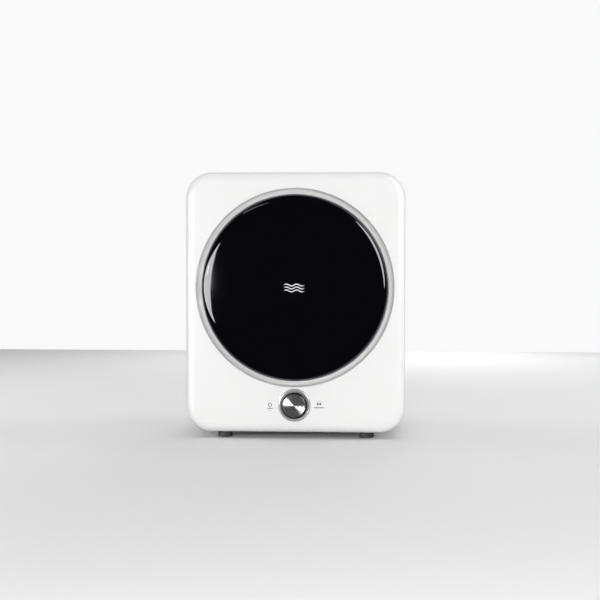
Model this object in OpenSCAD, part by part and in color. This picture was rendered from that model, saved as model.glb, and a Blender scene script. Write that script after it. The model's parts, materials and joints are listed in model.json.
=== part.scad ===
// Compact vented clothes dryer, free-standing on four feet or hung on a wall.
// Millimetres, +Z up, the door faces -Y, the origin is on the floor under the object's middle.

/* [Case] */
// Width of the case
case_w = 493; // [480:1:600]
// Height of the case without its feet
case_h = 584; // [570:1:720]
// Depth from the front of the door to the end of the exhaust spigot
overall_d = 410; // [390:1:500]
// Corner radius of the case's outline
corner_r = 58; // [50:1:70]
// Radius of the front moulding's edge
edge_r = 21; // [14:1:22]
// Wall of the front moulding
panel_wall = 3; // [2:0.5:4]
// Depth of the front moulding
panel_d = 26; // [26:1:60]
// Thickness of the steel sheet
sheet_t = 0.8; // [0.6:0.1:1.2]
// Step from the moulding's outline in to the steel
seam_step = 1; // [0.5:0.5:2]
// Width of the wrap's folded rear flange
wrap_flange_w = 16; // [12:1:20]
// Thickness of the rear cover
cover_t = 2.5; // [2:0.5:4]
// How far the bulge stands out of the rear cover
bulge_h = 12; // [8:1:16]
// Outer diameter of the bulge over the fan
bulge_d = 300; // [280:2:310]

/* [Feet] */
// Height of the rubber feet
foot_h = 14; // [10:1:24]
// Diameter of the rubber feet
foot_d = 33; // [26:1:40]
// Distance between the feet across the case
foot_pitch = 322; // [280:2:340]
// Distance from the steel's front or rear edge to the middle of a foot
foot_inset = 20; // [20:1:40]

/* [Door] */
// Diameter of the door
door_d = 418; // [380:1:420]
// How far the door stands out of the front face
door_proud = 22; // [18:1:26]
// Depth of the door's rim
rim_depth = 29; // [27:1:32]
// Rise of the door's front from its rim to its middle
door_rise = 4; // [2:0.5:6]
// Wall of the door's cover
door_wall = 3; // [2:0.5:4]
// Width of the hollow ring round the door
ring_gap = 13; // [11:1:14]
// Width of the door's rim outside the loading mouth
door_rim_w = 51; // [50:1:70]
// Height of the door's middle above the dial
door_above_dial = 263; // [260:0.5:290]
// How far the hinge lies inside the door's edge
hinge_inset = 13; // [12:0.5:14]
// Height of each hinge above or below the door's middle
hinge_half_pitch = 34; // [28:1:36]
// Diameter of the hinge pins
hinge_pin_d = 5; // [4:0.5:5.5]
// Depth of the door's bowl behind its frame
bowl_depth = 40; // [30:1:48]

/* [Dial] */
// Height of the dial above the bottom of the case
dial_up = 62.5; // [60:0.5:70]
// Outer diameter of the dial's bezel
bezel_d = 74; // [66:1:78]
// Diameter of the dial
dial_d = 59.6; // [50:0.2:60]
// How far the dial stands out of the front face
dial_proud = 18; // [12:1:24]
// Diameter of the dial's metal cap
cap_d = 51.2; // [40:0.2:52]
// Diameter of the timer's shaft
timer_shaft_d = 6; // [5:0.5:8]

/* [Drum] */
// Outer diameter of the drum
drum_d = 428; // [380:1:432]
// Thickness of the drum's steel
drum_t = 0.8; // [0.6:0.1:1.2]
// Diameter of the drum's shaft
drum_shaft_d = 16; // [12:1:18]
// Height of the baffles
baffle_h = 44; // [30:1:50]
// Number of baffles
baffle_n = 3; // [2:1:4]
// Diameter of the filter's seat in the drum's rear wall
filter_d = 170; // [150:2:180]
// How far the filter's cover stands out into the drum
filter_rise = 26; // [20:1:30]

/* [Drive] */
// Diameter of the motor
motor_d = 84; // [70:1:90]
// Length of the motor
motor_l = 92; // [80:1:95]
// Distance of the motor's shaft from the case's middle
motor_x = 150; // [140:1:160]
// Height of the motor's shaft above the bottom of the case
motor_up = 64; // [60:1:72]
// Diameter of the pulley that drives the drum
drum_pulley_d = 16; // [12:1:20]
// Diameter of the pulley that drives the fan
fan_drive_d = 60; // [40:1:66]
// Diameter of the fan's own pulley
fan_pulley_d = 50; // [44:1:60]
// Thickness of the belts
belt_t = 3; // [2:0.5:4]
// Width of the drum's belt
belt_w = 9; // [6:1:12]
// Diameter of the tension pulley
idler_d = 32; // [26:1:36]
// How far the tension pulley pushes the belt out
idler_push = 6; // [4:1:8]

/* [Air] */
// Outer diameter of the exhaust spigot
spigot_d = 100; // [96:1:102]
// Length of the spigot behind the rear cover
spigot_l = 42; // [34:1:50]
// Wall of the plastic air parts
duct_wall = 2; // [1.5:0.5:3]
// Diameter of the fan's wheel
fan_d = 184; // [160:2:190]
// Number of fan blades
blade_n = 24; // [16:1:30]
// Width of the intake slots
slot_w = 3.6; // [3:0.1:3.9]
// Number of fins in the heater
fin_n = 16; // [10:1:20]

/* [Mounts] */
// Spacing across of the wall bracket's holes
bracket_x = 300; // [260:2:320]
// Spacing up and down of the wall bracket's holes
bracket_z = 60; // [50:2:70]
// Diameter of the wall bracket's holes
bracket_hole_d = 5.2; // [4.2:0.2:6.2]
// Diameter of the supply cord that the gland takes
cord_hole_d = 8; // [6:0.5:9]

/* [Hidden] */
$fn = 96;

// Clearances that fits share
run_gap = 0.05;     // a shaft or pin in its hole, on the radius
slide_gap = 0.4;    // soft or loose parts beside moving ones
door_gap = 2;       // between the door's edge and the step in the hollow ring
seal_gap = 0.5;     // between the closed door's gasket and its seat

// Levels up and down
base_z = foot_h;
top_z = base_z + case_h;
case_mid_z = base_z + case_h / 2;
dial_z = base_z + dial_up;
door_z = dial_z + door_above_dial;
motor_z = base_z + motor_up;
steel_inset = seam_step + sheet_t;

// Stations from front to back
front_y = -overall_d / 2;
face_y = front_y + door_proud;
joint_y = face_y + panel_d;
end_y = overall_d / 2;
rear_y = end_y - spigot_l;
cover_in_y = rear_y - cover_t;

// The hollow ring round the door and the seat behind the door
recess_r = door_d / 2 + ring_gap;
ledge_r = door_d / 2 + door_gap;
cove_r = recess_r - ledge_r;
cove_y = face_y + 4;
ledge_y = cove_y + cove_r;
floor_y = face_y + 18;
recess_edge_r = 2;
floor_back_y = floor_y + panel_wall;
mouth_r = door_d / 2 - door_rim_w;
seat_r = mouth_r + 16;
ring_flange_r = seat_r + 22;
ring_flange_t = 3;
neck_t = 3.5;
neck_back_y = floor_y + 50;
mouth_screw_r = (seat_r + ring_flange_r) / 2;
mouth_screw_n = 6;

// Door
door_r = door_d / 2;
rim_back_y = front_y + rim_depth;
rim_r = door_proud - door_rise;
hinge_x = hinge_inset - door_r;
hinge_y = front_y + 23;
knuckle_r = hinge_pin_d / 2 + 2.6;
knuckle_half = 14.5;
post_half = 6;
post_w = 6;
leaf_t = 2.5;
leaf_screw_z = 9;
leaf_screw_x = hinge_x + 17;
frame_t = 3;
frame_front_y = rim_back_y - frame_t;
bowl_r = mouth_r - 8;
bowl_t = 2.5;
bowl_back_y = rim_back_y + bowl_depth;
gasket_r = seat_r - 8;
latch_x = door_r - 22;
catch_z = 26;
catch_t = 1.5;
latch_gap = 0.5;
plunger_r = 2.5;
plunger_out = 3;
switch_half = [10, 14];
switch_d = 16;

// Drum
drum_r = drum_d / 2;
drum_front_y = floor_back_y + 29;
bulkhead_y = rear_y - 57;
drum_back_y = bulkhead_y - 6;
lip_r = mouth_r + neck_t + 11;
lip_l = 8;
shaft_r = drum_shaft_d / 2;
filter_r = filter_d / 2;
hub_r = shaft_r + 10;
bearing_r = shaft_r + 11;
spider_t = 7;

// Belts, pulleys and fan
drum_belt_y = drum_front_y + 121;
motor_front_y = drum_belt_y + 14;
motor_back_y = motor_front_y + motor_l;
motor_pin_r = 5;
fan_belt_w = 7;
fan_front_y = bulkhead_y + 4;
fan_w = 24;
housing_back_y = fan_front_y + fan_w + 4;
fan_belt_y = housing_back_y + 9.5;
fan_r = fan_d / 2;
fan_hub_r = shaft_r + 5;
scroll_gap = 8;
scroll_grow = 26;
scroll_start = -30;
outlet_r = 16;
spigot_r = spigot_d / 2;
spigot_x = -(fan_r + spigot_r + scroll_gap + duct_wall);
spigot_z = door_z + 36;

// Screws
screw_r = 1.8;
head_r = 3.6;
head_h = 2.2;

// ---- Shared shapes -------------------------------------------------------

// Extrudes an (x, z) outline from one y to another
module along_y(y0, y1) {
  translate([0, y1, 0]) rotate([90, 0, 0]) linear_extrude(y1 - y0) children();
}

// Turns an (r, y) profile about a line along Y through (x, z)
module around_y(x, z) {
  translate([x, 0, z]) rotate([-90, 0, 0]) rotate_extrude() children();
}

// Round bar along Y
module rod_y(r, y0, y1, x, z) {
  translate([x, y0, z]) rotate([-90, 0, 0]) cylinder(r = r, h = y1 - y0);
}

// Round bar along Z
module rod_z(r, z0, z1, x, y) {
  translate([x, y, z0]) cylinder(r = r, h = z1 - z0);
}

// Tube along Y
module tube_y(r_out, r_in, y0, y1, x, z) {
  around_y(x, z) translate([r_in, y0]) square([r_out - r_in, y1 - y0]);
}

// Box given by its low and high corners
module box(low, high) {
  translate(low) cube(high - low);
}

// Rounded rectangle of the case's outline in (x, z), inset by a margin
module case_outline(inset) {
  r = corner_r - inset;
  w = case_w - 2 * inset;
  h = case_h - 2 * inset;
  translate([0, case_mid_z]) {
    square([w - 2 * r, h], center = true);
    square([w, h - 2 * r], center = true);
    for (sx = [-1, 1], sz = [-1, 1])
      translate([sx * (w / 2 - r), sz * (h / 2 - r)]) circle(r);
  }
}

// Quarter disc in the corner (-, -) of the origin
module quarter_disc(r) {
  intersection() {
    circle(r);
    translate([-r, -r]) square(r);
  }
}

// The case's outline as a block whose front edge is rounded
module pillow(inset, y0, y1, e) {
  r = corner_r - inset;
  w = case_w - 2 * inset;
  h = case_h - 2 * inset;
  cx = w / 2 - r;
  cz = h / 2 - r;
  along_y(y0 + e, y1) case_outline(inset);
  along_y(y0, y0 + e) case_outline(inset + e);
  for (turn = [0, 180])
    translate([0, 0, case_mid_z]) rotate([0, turn, 0]) {
      // Long edges at the left or right
      translate([-w / 2 + e, y0 + e, -cz])
        linear_extrude(2 * cz) quarter_disc(e);
      // Short edges at the bottom or top
      translate([-cx, y0 + e, -h / 2 + e]) rotate([90, 0, 90])
        linear_extrude(2 * cx) quarter_disc(e);
      // Corners
      for (side = [0, 1])
        translate([(1 - 2 * side) * cx, 0, -cz]) rotate([0, side * 90, 0])
          rotate([-90, 0, 0]) rotate_extrude(angle = 90) corner_profile(r, y0, e);
    }
}

// Section of a rounded corner, in (r, y)
module corner_profile(r, y0, e) {
  translate([r - e, y0 + e]) intersection() {
    circle(e);
    translate([0, -e]) square(e);
  }
}

// Direction, from either centre, of the points where the outer tangent of two circles
// touches them, for a belt that runs counter-clockwise from a to b
function tangent_dir(a, b) =
  let (dx = b[0] - a[0], dz = b[1] - a[1])
  atan2(dz, dx) - acos((a[2] - b[2]) / norm([dx, dz]));

// Counter-clockwise outline, add outside a belt's inner face, round circles of [x, z, r]
function belt_outline(circles, add) =
  let (n = len(circles))
  [for (i = [0 : n - 1])
    let (c = circles[i], from = tangent_dir(circles[(i + n - 1) % n], c),
         to = tangent_dir(c, circles[(i + 1) % n]), sweep = (to - from + 720) % 360,
         steps = max(2, ceil(sweep / 4)))
    for (k = [0 : steps]) let (a = from + sweep * k / steps)
      [c[0] + (c[2] + add) * cos(a), c[1] + (c[2] + add) * sin(a)]];

module belt(circles, y, w) {
  along_y(y - w / 2, y + w / 2) difference() {
    polygon(belt_outline(circles, belt_t));
    polygon(belt_outline(circles, 0));
  }
}

// A screw along Y: head in front of y, shank behind it
module screw_y(x, y, z, dir = 1, shank = 8) {
  translate([x, y, z]) rotate([dir > 0 ? -90 : 90, 0, 0]) {
    difference() {
      translate([0, 0, -head_h]) cylinder(r = head_r, h = head_h);
      for (turn = [0, 90])
        rotate([0, 0, turn]) translate([-0.5, -2.2, -head_h - 1]) cube([1, 4.4, 2]);
    }
    cylinder(r = screw_r, h = shank);
  }
}

// A screw along Z: head below z, shank above it
module screw_z(x, y, z, shank = 8, r = head_r) {
  translate([x, y, z]) {
    difference() {
      translate([0, 0, -head_h]) cylinder(r = r, h = head_h);
      for (turn = [0, 90])
        rotate([0, 0, turn]) translate([-0.5, -2.2, -head_h - 1]) cube([1, 4.4, 2]);
    }
    cylinder(r = screw_r, h = shank);
  }
}

// ---- Places that several parts share --------------------------------------

foot_places = [for (sx = [-1, 1], y = [joint_y + foot_inset, rear_y - cover_t - foot_inset])
  [sx * foot_pitch / 2, y]];

cover_screw_inset = steel_inset + wrap_flange_w / 2 + 1;
cover_screws_at = concat(
  [for (sx = [-1, 1], f = [-0.6, 0, 0.6])
    [sx * (case_w / 2 - cover_screw_inset), case_mid_z + f * (case_h / 2 - corner_r)]],
  [for (sz = [-1, 1], f = [-0.5, 0.5])
    [f * (case_w / 2 - corner_r), case_mid_z + sz * (case_h / 2 - cover_screw_inset)]]);

bolt_well_r = 6;
bolt_seat_z = 6;
rail_half = 10;
rail_h = 12;
rail_t = 1.5;
rail_ys = [foot_places[0][1], foot_places[1][1]];

panel_screws_at = [-110, 0, 110];
bracket_holes_at = [for (sx = [-1, 1], sz = [-1, 1])
  [sx * bracket_x / 2, top_z - 76 + sz * bracket_z / 2]];
mouth_screws_at = [for (i = [0 : mouth_screw_n - 1])
  let (a = 60 * i) [mouth_screw_r * cos(a), door_z + mouth_screw_r * sin(a)]];
spigot_screws_at = [for (i = [0 : 3])
  let (a = 90 * i + 45) [spigot_x + (spigot_r + 9) * cos(a), spigot_z + (spigot_r + 9) * sin(a)]];
bearing_screws_at = [for (i = [0 : 2])
  let (a = 120 * i + 90) [(filter_r + 8) * cos(a), door_z + (filter_r + 8) * sin(a)]];
hinge_levels = [door_z - hinge_half_pitch, door_z + hinge_half_pitch];
bracket_screw_x = leaf_screw_x;

drum_axis = [0, door_z];
motor_axis = [motor_x, motor_z];

// The tension pulley sits inside the belt's left run and pushes it out
run_dir_a = tangent_dir([drum_axis[0], drum_axis[1], drum_r],
                        [motor_axis[0], motor_axis[1], drum_pulley_d / 2]);
run_out = [cos(run_dir_a), sin(run_dir_a)];
run_from = drum_axis + drum_r * run_out;
run_to = motor_axis + drum_pulley_d / 2 * run_out;
idler_axis = run_from + (run_to - run_from) * 0.6 - run_out * (idler_d / 2 - idler_push);
arm_axis = motor_axis + [-motor_d / 2 - 4, 24];

drum_loop = [[drum_axis[0], drum_axis[1], drum_r + slide_gap],
             [idler_axis[0], idler_axis[1], idler_d / 2 + slide_gap],
             [motor_axis[0], motor_axis[1], drum_pulley_d / 2 + slide_gap]];
fan_loop = [[drum_axis[0], drum_axis[1], fan_pulley_d / 2 + slide_gap],
            [motor_axis[0], motor_axis[1], fan_drive_d / 2 + slide_gap]];

// ---- Case ------------------------------------------------------------------

// Moulded front with the hollow ring round the door
module front_panel() {
  w = panel_wall;
  lip_in = steel_inset + 0.3;
  lip_t = 2.2;
  lip_l = 8;
  color("whitesmoke") difference() {
    union() {
      difference() {
        pillow(0, face_y, joint_y, edge_r);
        pillow(w, face_y + w, joint_y + 1, edge_r - w);
      }
      // Lip that slips into the steel wrap
      along_y(joint_y - 5, joint_y + lip_l) difference() {
        case_outline(lip_in);
        case_outline(lip_in + lip_t);
      }
      // Backing of the hollow ring and the seat behind the door
      around_y(0, door_z) polygon([
        [seat_r - 2, face_y + 1], [recess_r + w, face_y + 1], [recess_r + w, cove_y],
        [ledge_r + w, floor_y], [ledge_r + w, floor_back_y], [seat_r - 2, floor_back_y]]);
      // Boss under the dial
      rod_y(bezel_d / 2 - 1, face_y + 1, face_y + 8, 0, dial_z);
    }
    around_y(0, door_z) recess_void();
    // Hole for the timer's shaft
    rod_y(timer_shaft_d / 2 + 2, face_y - 1, face_y + 10, 0, dial_z);
    // Hole for the door switch's plunger
    rod_y(plunger_r + 0.7, floor_y - 1, floor_back_y + 1, latch_x, door_z - catch_z);
    for (p = mouth_screws_at) rod_y(screw_r, floor_y + 0.5, floor_back_y + 1, p[0], p[1]);
    for (z = hinge_levels, s = [-1, 1])
      rod_y(screw_r, floor_y - 1, floor_back_y + 1, bracket_screw_x, z + s * leaf_screw_z);
    for (x = panel_screws_at)
      rod_z(screw_r, base_z - 1, base_z + 12, x, joint_y + 4);
    for (s = [-1, 1])
      rod_y(screw_r, face_y + 3, face_y + 9, s * timer_screw_x, dial_z);
  }
}

// Section of everything in front of the seat, in (r, y): a rounded edge, a short wall and a
// cove down to the ledge, then the seat with the mouth through it
module recess_void() {
  e = recess_edge_r;
  translate([0, face_y - 1]) square([recess_r, 1 + cove_y - face_y]);
  translate([0, cove_y - 0.5]) square([ledge_r, floor_y - cove_y + 0.5]);
  translate([ledge_r, cove_y]) intersection() {
    circle(cove_r);
    square(cove_r);
  }
  difference() {
    translate([recess_r - 1, face_y - 1]) square([e + 1, e + 1]);
    translate([recess_r + e, face_y + e]) circle(e);
  }
  translate([0, floor_y - 0.5]) square([seat_r, floor_back_y - floor_y + 1.5]);
}

// Folded and welded steel case, open at the front and the back
module cabinet_wrap() {
  slot_pitch = 11;
  slot_l = 70;
  slots_from = [-196, joint_y + 60];
  color("white") difference() {
    union() {
      along_y(joint_y, cover_in_y) difference() {
        case_outline(seam_step);
        case_outline(steel_inset);
      }
      along_y(cover_in_y - sheet_t, cover_in_y) difference() {
        case_outline(steel_inset - 0.2);
        case_outline(steel_inset + wrap_flange_w);
      }
    }
    for (p = cover_screws_at)
      rod_y(screw_r, cover_in_y - sheet_t - 1, cover_in_y + 1, p[0], p[1]);
    for (p = foot_places) rod_z(screw_r, base_z, base_z + 4, p[0], p[1]);
    for (x = panel_screws_at) rod_z(screw_r, base_z, base_z + 4, x, joint_y + 4);
    // Intake slots under the heater
    for (i = [0 : 9]) let (x = slots_from[0] + slot_pitch * i, y = slots_from[1])
      box([x, y, base_z], [x + slot_w, y + slot_l, base_z + 4]);
  }
}

// Back of the case, with a flat bulge over the fan's belt
module rear_cover() {
  r_out = bulge_d / 2;
  r_in = r_out - bulge_h;
  hollow_r_out = r_out - cover_t - 1;
  hollow_y = rear_y + bulge_h - cover_t;
  louvre_pitch = 14;
  louvre_h = 32;
  color("white") difference() {
    union() {
      along_y(cover_in_y, rear_y) case_outline(seam_step);
      around_y(0, door_z) polygon([
        [0, hollow_y], [r_in - 1, hollow_y], [hollow_r_out, cover_in_y], [r_out + 1, cover_in_y],
        [r_out, rear_y], [r_in, rear_y + bulge_h], [0, rear_y + bulge_h]]);
    }
    // The hollow behind the bulge
    around_y(0, door_z) polygon([
      [0, cover_in_y - 1], [hollow_r_out + 1, cover_in_y - 1], [hollow_r_out, cover_in_y],
      [r_in - 1, hollow_y], [0, hollow_y]]);
    // Way out for the exhaust
    rod_y(neck_bore_r, cover_in_y - 1, rear_y + bulge_h + 1, spigot_x, spigot_z);
    for (p = cover_screws_at) rod_y(screw_r, cover_in_y - 1, rear_y + 1, p[0], p[1]);
    for (p = spigot_screws_at) rod_y(screw_r, cover_in_y - 1, rear_y + bulge_h + 1, p[0], p[1]);
    for (p = bracket_holes_at)
      rod_y(bracket_hole_d / 2, cover_in_y - 1, rear_y + 1, p[0], p[1]);
    rod_y(gland_r, cover_in_y - 1, rear_y + 1, gland_at[0], gland_at[1]);
    // Two rows of louvre slots behind the motor
    for (row = [0 : 1], i = [0 : 9]) let (x = 60 + louvre_pitch * i, z = base_z + 34 + 44 * row)
      box([x, cover_in_y - 1, z], [x + slot_w, rear_y + 1, z + louvre_h]);
  }
}

// Moulded feet: a tread with a small step, a body and a collar under the steel
module rubber_feet() {
  r = foot_d / 2;
  tread_h = 1.2;
  collar_h = 4;
  color("dimgray") for (p = foot_places) difference() {
    union() {
      rod_z(r - 1.2, 0, tread_h, p[0], p[1]);
      rod_z(r, tread_h, base_z - collar_h, p[0], p[1]);
      rod_z(r - 1.5, base_z - collar_h, base_z + seam_step, p[0], p[1]);
    }
    rod_z(bolt_well_r, -1, bolt_seat_z, p[0], p[1]);
    rod_z(screw_r, bolt_seat_z - 1, base_z + 2, p[0], p[1]);
  }
}

module foot_bolts() {
  top = base_z + steel_inset + rail_t + 4;
  color("silver") for (p = foot_places)
    screw_z(p[0], p[1], bolt_seat_z, top - bolt_seat_z, bolt_well_r - 0.5);
}

// Steel rails across the bottom that stiffen the wrap and take the feet and the motor
module base_rails() {
  w = foot_pitch + 30;
  z0 = base_z + steel_inset;
  color("lightsteelblue") for (y = rail_ys) difference() {
    box([-w / 2, y - rail_half, z0], [w / 2, y + rail_half, z0 + rail_h]);
    box([-w / 2 - 1, y - rail_half + rail_t, z0 + rail_t],
        [w / 2 + 1, y + rail_half - rail_t, z0 + rail_h + 1]);
    for (p = foot_places) rod_z(screw_r, base_z, z0 + 5, p[0], p[1]);
  }
}

// The same self-tapping screw all round the case, by where each row is driven in
module case_screws() {
  color("silver") {
    for (x = panel_screws_at) screw_z(x, joint_y + 4, base_z + seam_step, 8);
    for (p = cover_screws_at) screw_y(p[0], rear_y, p[1], -1, 10);
    for (p = mouth_screws_at) screw_y(p[0], floor_back_y + ring_flange_t, p[1], -1, 5);
    for (z = hinge_levels, s = [-1, 1])
      screw_y(bracket_screw_x, floor_y - leaf_t, z + s * leaf_screw_z, 1, 5);
    for (p = spigot_screws_at) screw_y(p[0], rear_y + bulge_h, p[1], -1, bulge_h + 2);
    for (s = [-1, 1]) screw_y(s * timer_screw_x, timer_front_y + plate_t, dial_z, -1, 6);
    for (p = bearing_screws_at) screw_y(p[0], bulkhead_y - 3, p[1], 1, 5.5);
  }
}

// ---- Door ------------------------------------------------------------------

// Section of the door's cover down to its back, in (r, y); inset gives its inner skin.
// A shallow dome meets a quarter-round rim.
module dome_profile(inset) {
  r = door_r - inset;
  e = rim_r - inset;
  y0 = front_y + door_rise + inset;
  dome_r = (pow(r - e, 2) + pow(door_rise, 2)) / (2 * door_rise);
  intersection() {
    translate([0, y0 - door_rise + dome_r]) circle(dome_r);
    translate([0, y0 - door_rise]) square([r - e, door_rise]);
  }
  translate([0, y0]) square([r - e, e]);
  translate([r - e, y0 + e]) intersection() {
    circle(e);
    translate([0, -e]) square(e);
  }
  translate([0, y0 + e]) square([r, rim_back_y - y0 - e]);
}

// Room for a hinge in the door's rim
module hinge_notch(z) {
  box([-door_r - 1, hinge_y - knuckle_r - 1.4, z - knuckle_half - 2],
      [hinge_x + 7, rim_back_y + 1, z + knuckle_half + 2]);
}

module door_cover() {
  color("black") difference() {
    around_y(0, door_z) difference() {
      dome_profile(0);
      dome_profile(door_wall);
      translate([0, frame_front_y]) square([door_r - door_wall, 20]);
    }
    for (z = hinge_levels) hinge_notch(z);
  }
}

// Plastic ring that closes the door's back
module door_frame() {
  color("gainsboro") difference() {
    union() {
      tube_y(door_r - door_wall, bowl_r - 1, frame_front_y, rim_back_y, 0, door_z);
      tube_y(bowl_r + 8, bowl_r + 6, rim_back_y - 10, rim_back_y - 1, 0, door_z);
      // Striker for the door switch
      rod_y(3.5, rim_back_y - 1, floor_y - plunger_out - latch_gap, latch_x, door_z - catch_z);
    }
    for (z = hinge_levels) {
      hinge_notch(z);
      for (s = [-1, 1])
        rod_y(screw_r, frame_front_y - 1, rim_back_y + 1, leaf_screw_x, z + s * leaf_screw_z);
    }
    for (p = door_screws_at) rod_y(screw_r, frame_front_y - 1, rim_back_y + 1, p[0], p[1]);
    // Groove for the gasket
    tube_y(gasket_r + 4, gasket_r - 4, rim_back_y - 1, rim_back_y + 1, 0, door_z);
    magnet_block();
  }
}

door_screws_at = [for (i = [0 : 7])
  let (a = 45 * i + 22.5, r = door_r - 20) [r * cos(a), door_z + r * sin(a)]];

module door_screws() {
  color("silver") {
    for (p = door_screws_at) screw_y(p[0], rim_back_y, p[1], -1, 6);
    for (z = hinge_levels, s = [-1, 1])
      screw_y(leaf_screw_x, rim_back_y + leaf_t, z + s * leaf_screw_z, -1, leaf_t + 5);
  }
}

// Smoked bowl that keeps the laundry off the door
module door_bowl() {
  lip = frame_front_y - 2;
  out_r = bowl_r - 1;
  in_r = out_r - bowl_t;
  color("dimgray", 0.6) around_y(0, door_z) difference() {
    polygon([[0, lip], [bowl_r + 5, lip], [bowl_r + 5, frame_front_y], [out_r, frame_front_y],
      [out_r, rim_back_y], [out_r - 7, bowl_back_y - 10], [out_r - 17, bowl_back_y],
      [0, bowl_back_y]]);
    polygon([[0, lip - 1], [in_r, lip - 1], [in_r, rim_back_y], [in_r - 7, bowl_back_y - 10 - 1],
      [in_r - 16, bowl_back_y - bowl_t], [0, bowl_back_y - bowl_t]]);
  }
}

module door_gasket() {
  color("darkgray") around_y(0, door_z) {
    translate([gasket_r - 4, rim_back_y - 1]) square([8, 1 + 4]);
    translate([gasket_r - 2.5, rim_back_y + 4]) square([5, floor_y - rim_back_y - 4 - seal_gap]);
  }
}

// Magnet in a holder, from the frame to just short of the catch plate
module magnet_block() {
  box([latch_x - 5, rim_back_y - 2, door_z + catch_z - 12],
      [latch_x + 5, floor_y - catch_t - latch_gap, door_z + catch_z + 12]);
}

module door_magnet() {
  color("gray") magnet_block();
}

// Moving leaf of each hinge: a plate on the back of the frame and two knuckles
module door_hinge_leaves() {
  x1 = leaf_screw_x + 6;
  k = knuckle_half;
  color("silver") for (z = hinge_levels) difference() {
    union() {
      box([hinge_x, rim_back_y, z - k], [x1, rim_back_y + leaf_t, z + k]);
      // Web from the plate to the knuckles
      box([hinge_x, hinge_y, z - k], [hinge_x + knuckle_r, rim_back_y + leaf_t, z + k]);
      rod_z(knuckle_r, z - k, z + k, hinge_x, hinge_y);
    }
    box([hinge_x - knuckle_r - 1, hinge_y - knuckle_r - 1, z - post_half - slide_gap],
        [hinge_x + 7, rim_back_y + leaf_t + 1, z + post_half + slide_gap]);
    rod_z(hinge_pin_d / 2, z - k - 1, z + k + 1, hinge_x, hinge_y);
    for (s = [-1, 1])
      rod_y(screw_r, rim_back_y - 1, rim_back_y + 8, leaf_screw_x, z + s * leaf_screw_z);
  }
}

module hinge_pins() {
  color("lightgray") for (z = hinge_levels) {
    rod_z(hinge_pin_d / 2, z - knuckle_half, z + knuckle_half, hinge_x, hinge_y);
    rod_z(hinge_pin_d / 2 + 1, z + knuckle_half, z + knuckle_half + 1.2, hinge_x, hinge_y);
  }
}

// Fixed leaf of each hinge: a plate on the seat, a post and one knuckle
module hinge_brackets() {
  k = leaf_screw_z + 3.5;
  color("silver") for (z = hinge_levels) difference() {
    union() {
      box([hinge_x - post_w / 2, hinge_y, z - post_half], [hinge_x + post_w / 2, floor_y, z + post_half]);
      rod_z(knuckle_r, z - post_half, z + post_half, hinge_x, hinge_y);
      box([hinge_x - post_w / 2, floor_y - leaf_t, z - k], [bracket_screw_x + 5, floor_y, z + k]);
    }
    rod_z(hinge_pin_d / 2 + run_gap, z - 10, z + 10, hinge_x, hinge_y);
    for (s = [-1, 1])
      rod_y(screw_r, floor_y - 5, floor_y + 1, bracket_screw_x, z + s * leaf_screw_z);
  }
}

module catch_plate() {
  color("silver") box([latch_x - 7, floor_y - catch_t, door_z + catch_z - 15],
    [latch_x + 7, floor_y, door_z + catch_z + 15]);
}

// Front support ring of the drum: neck, flange and hot-air grille
module mouth_ring() {
  color("gainsboro") difference() {
    union() {
      tube_y(mouth_r + neck_t, mouth_r, floor_y, neck_back_y, 0, door_z);
      tube_y(seat_r, mouth_r, floor_y, floor_back_y, 0, door_z);
      tube_y(ring_flange_r, mouth_r, floor_back_y, floor_back_y + ring_flange_t, 0, door_z);
    }
    for (p = mouth_screws_at) rod_y(screw_r, floor_back_y - 1, floor_back_y + 4, p[0], p[1]);
    // Notch round the door switch
    box([latch_x - switch_half[0] - 1, floor_back_y, door_z - catch_z - switch_half[1] - 1],
        [latch_x + switch_half[0] + 10, floor_back_y + 4, door_z - catch_z + switch_half[1] + 1]);
    // Hot-air grille in the bottom of the neck
    for (i = [-6 : 6])
      translate([0, 0, door_z]) rotate([0, 3 * i, 0])
        box([-slot_w / 2, floor_back_y + 5, -mouth_r - neck_t - 1],
            [slot_w / 2, floor_back_y + 23, -mouth_r + 1]);
  }
}

module front_felt_seal() {
  color("tan") tube_y(lip_r - slide_gap, mouth_r + neck_t, drum_front_y + 0.5, drum_front_y + lip_l,
    0, door_z);
}

// Door switch behind the seat, with its spring plunger
module door_switch() {
  x = latch_x;
  z = door_z - catch_z;
  color("dimgray") difference() {
    box([x - switch_half[0], floor_back_y, z - switch_half[1]],
        [x + switch_half[0], floor_back_y + switch_d, z + switch_half[1]]);
    rod_y(plunger_r + run_gap, floor_back_y - 1, floor_back_y + 10, x, z);
  }
}

module switch_plunger() {
  color("white")
    rod_y(plunger_r, floor_y - plunger_out, floor_back_y + 6, latch_x, door_z - catch_z);
}

// ---- Dial and timer ---------------------------------------------------------

module dial_bezel() {
  r = bezel_d / 2;
  in_r = dial_d / 2 + 0.8;
  color("silver") around_y(0, dial_z) polygon([
    [in_r, face_y], [r, face_y], [r, face_y - 2], [r - 2.5, face_y - 5.5],
    [r - 4, face_y - 6], [in_r + 0.8, face_y - 4], [in_r, face_y - 3.2]]);
}

module dial_body() {
  r = dial_d / 2;
  hub_r = timer_shaft_d / 2 + 4;
  wall = 2.5;
  y0 = face_y - dial_proud + 2;
  y1 = y0 + 4;
  color("black") difference() {
    around_y(0, dial_z) difference() {
      polygon([[0, y0], [cap_d / 2 + 0.8, y0], [r - 0.8, y0 + 2.5], [r, y0 + 6], [r, face_y - 1],
        [0, face_y - 1]]);
      polygon([[hub_r, y1], [r - wall, y1], [r - wall, face_y], [hub_r, face_y]]);
    }
    rod_y(timer_shaft_d / 2, y1, face_y + 1, 0, dial_z);
  }
}

module dial_cap() {
  y0 = face_y - dial_proud;
  color("gray") around_y(0, dial_z) polygon([
    [0, y0 + 0.9], [cap_d / 2 - 2, y0 + 0.1], [cap_d / 2 - 0.8, y0], [cap_d / 2, y0 + 0.6],
    [cap_d / 2, y0 + 2], [0, y0 + 2]]);
}

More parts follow.
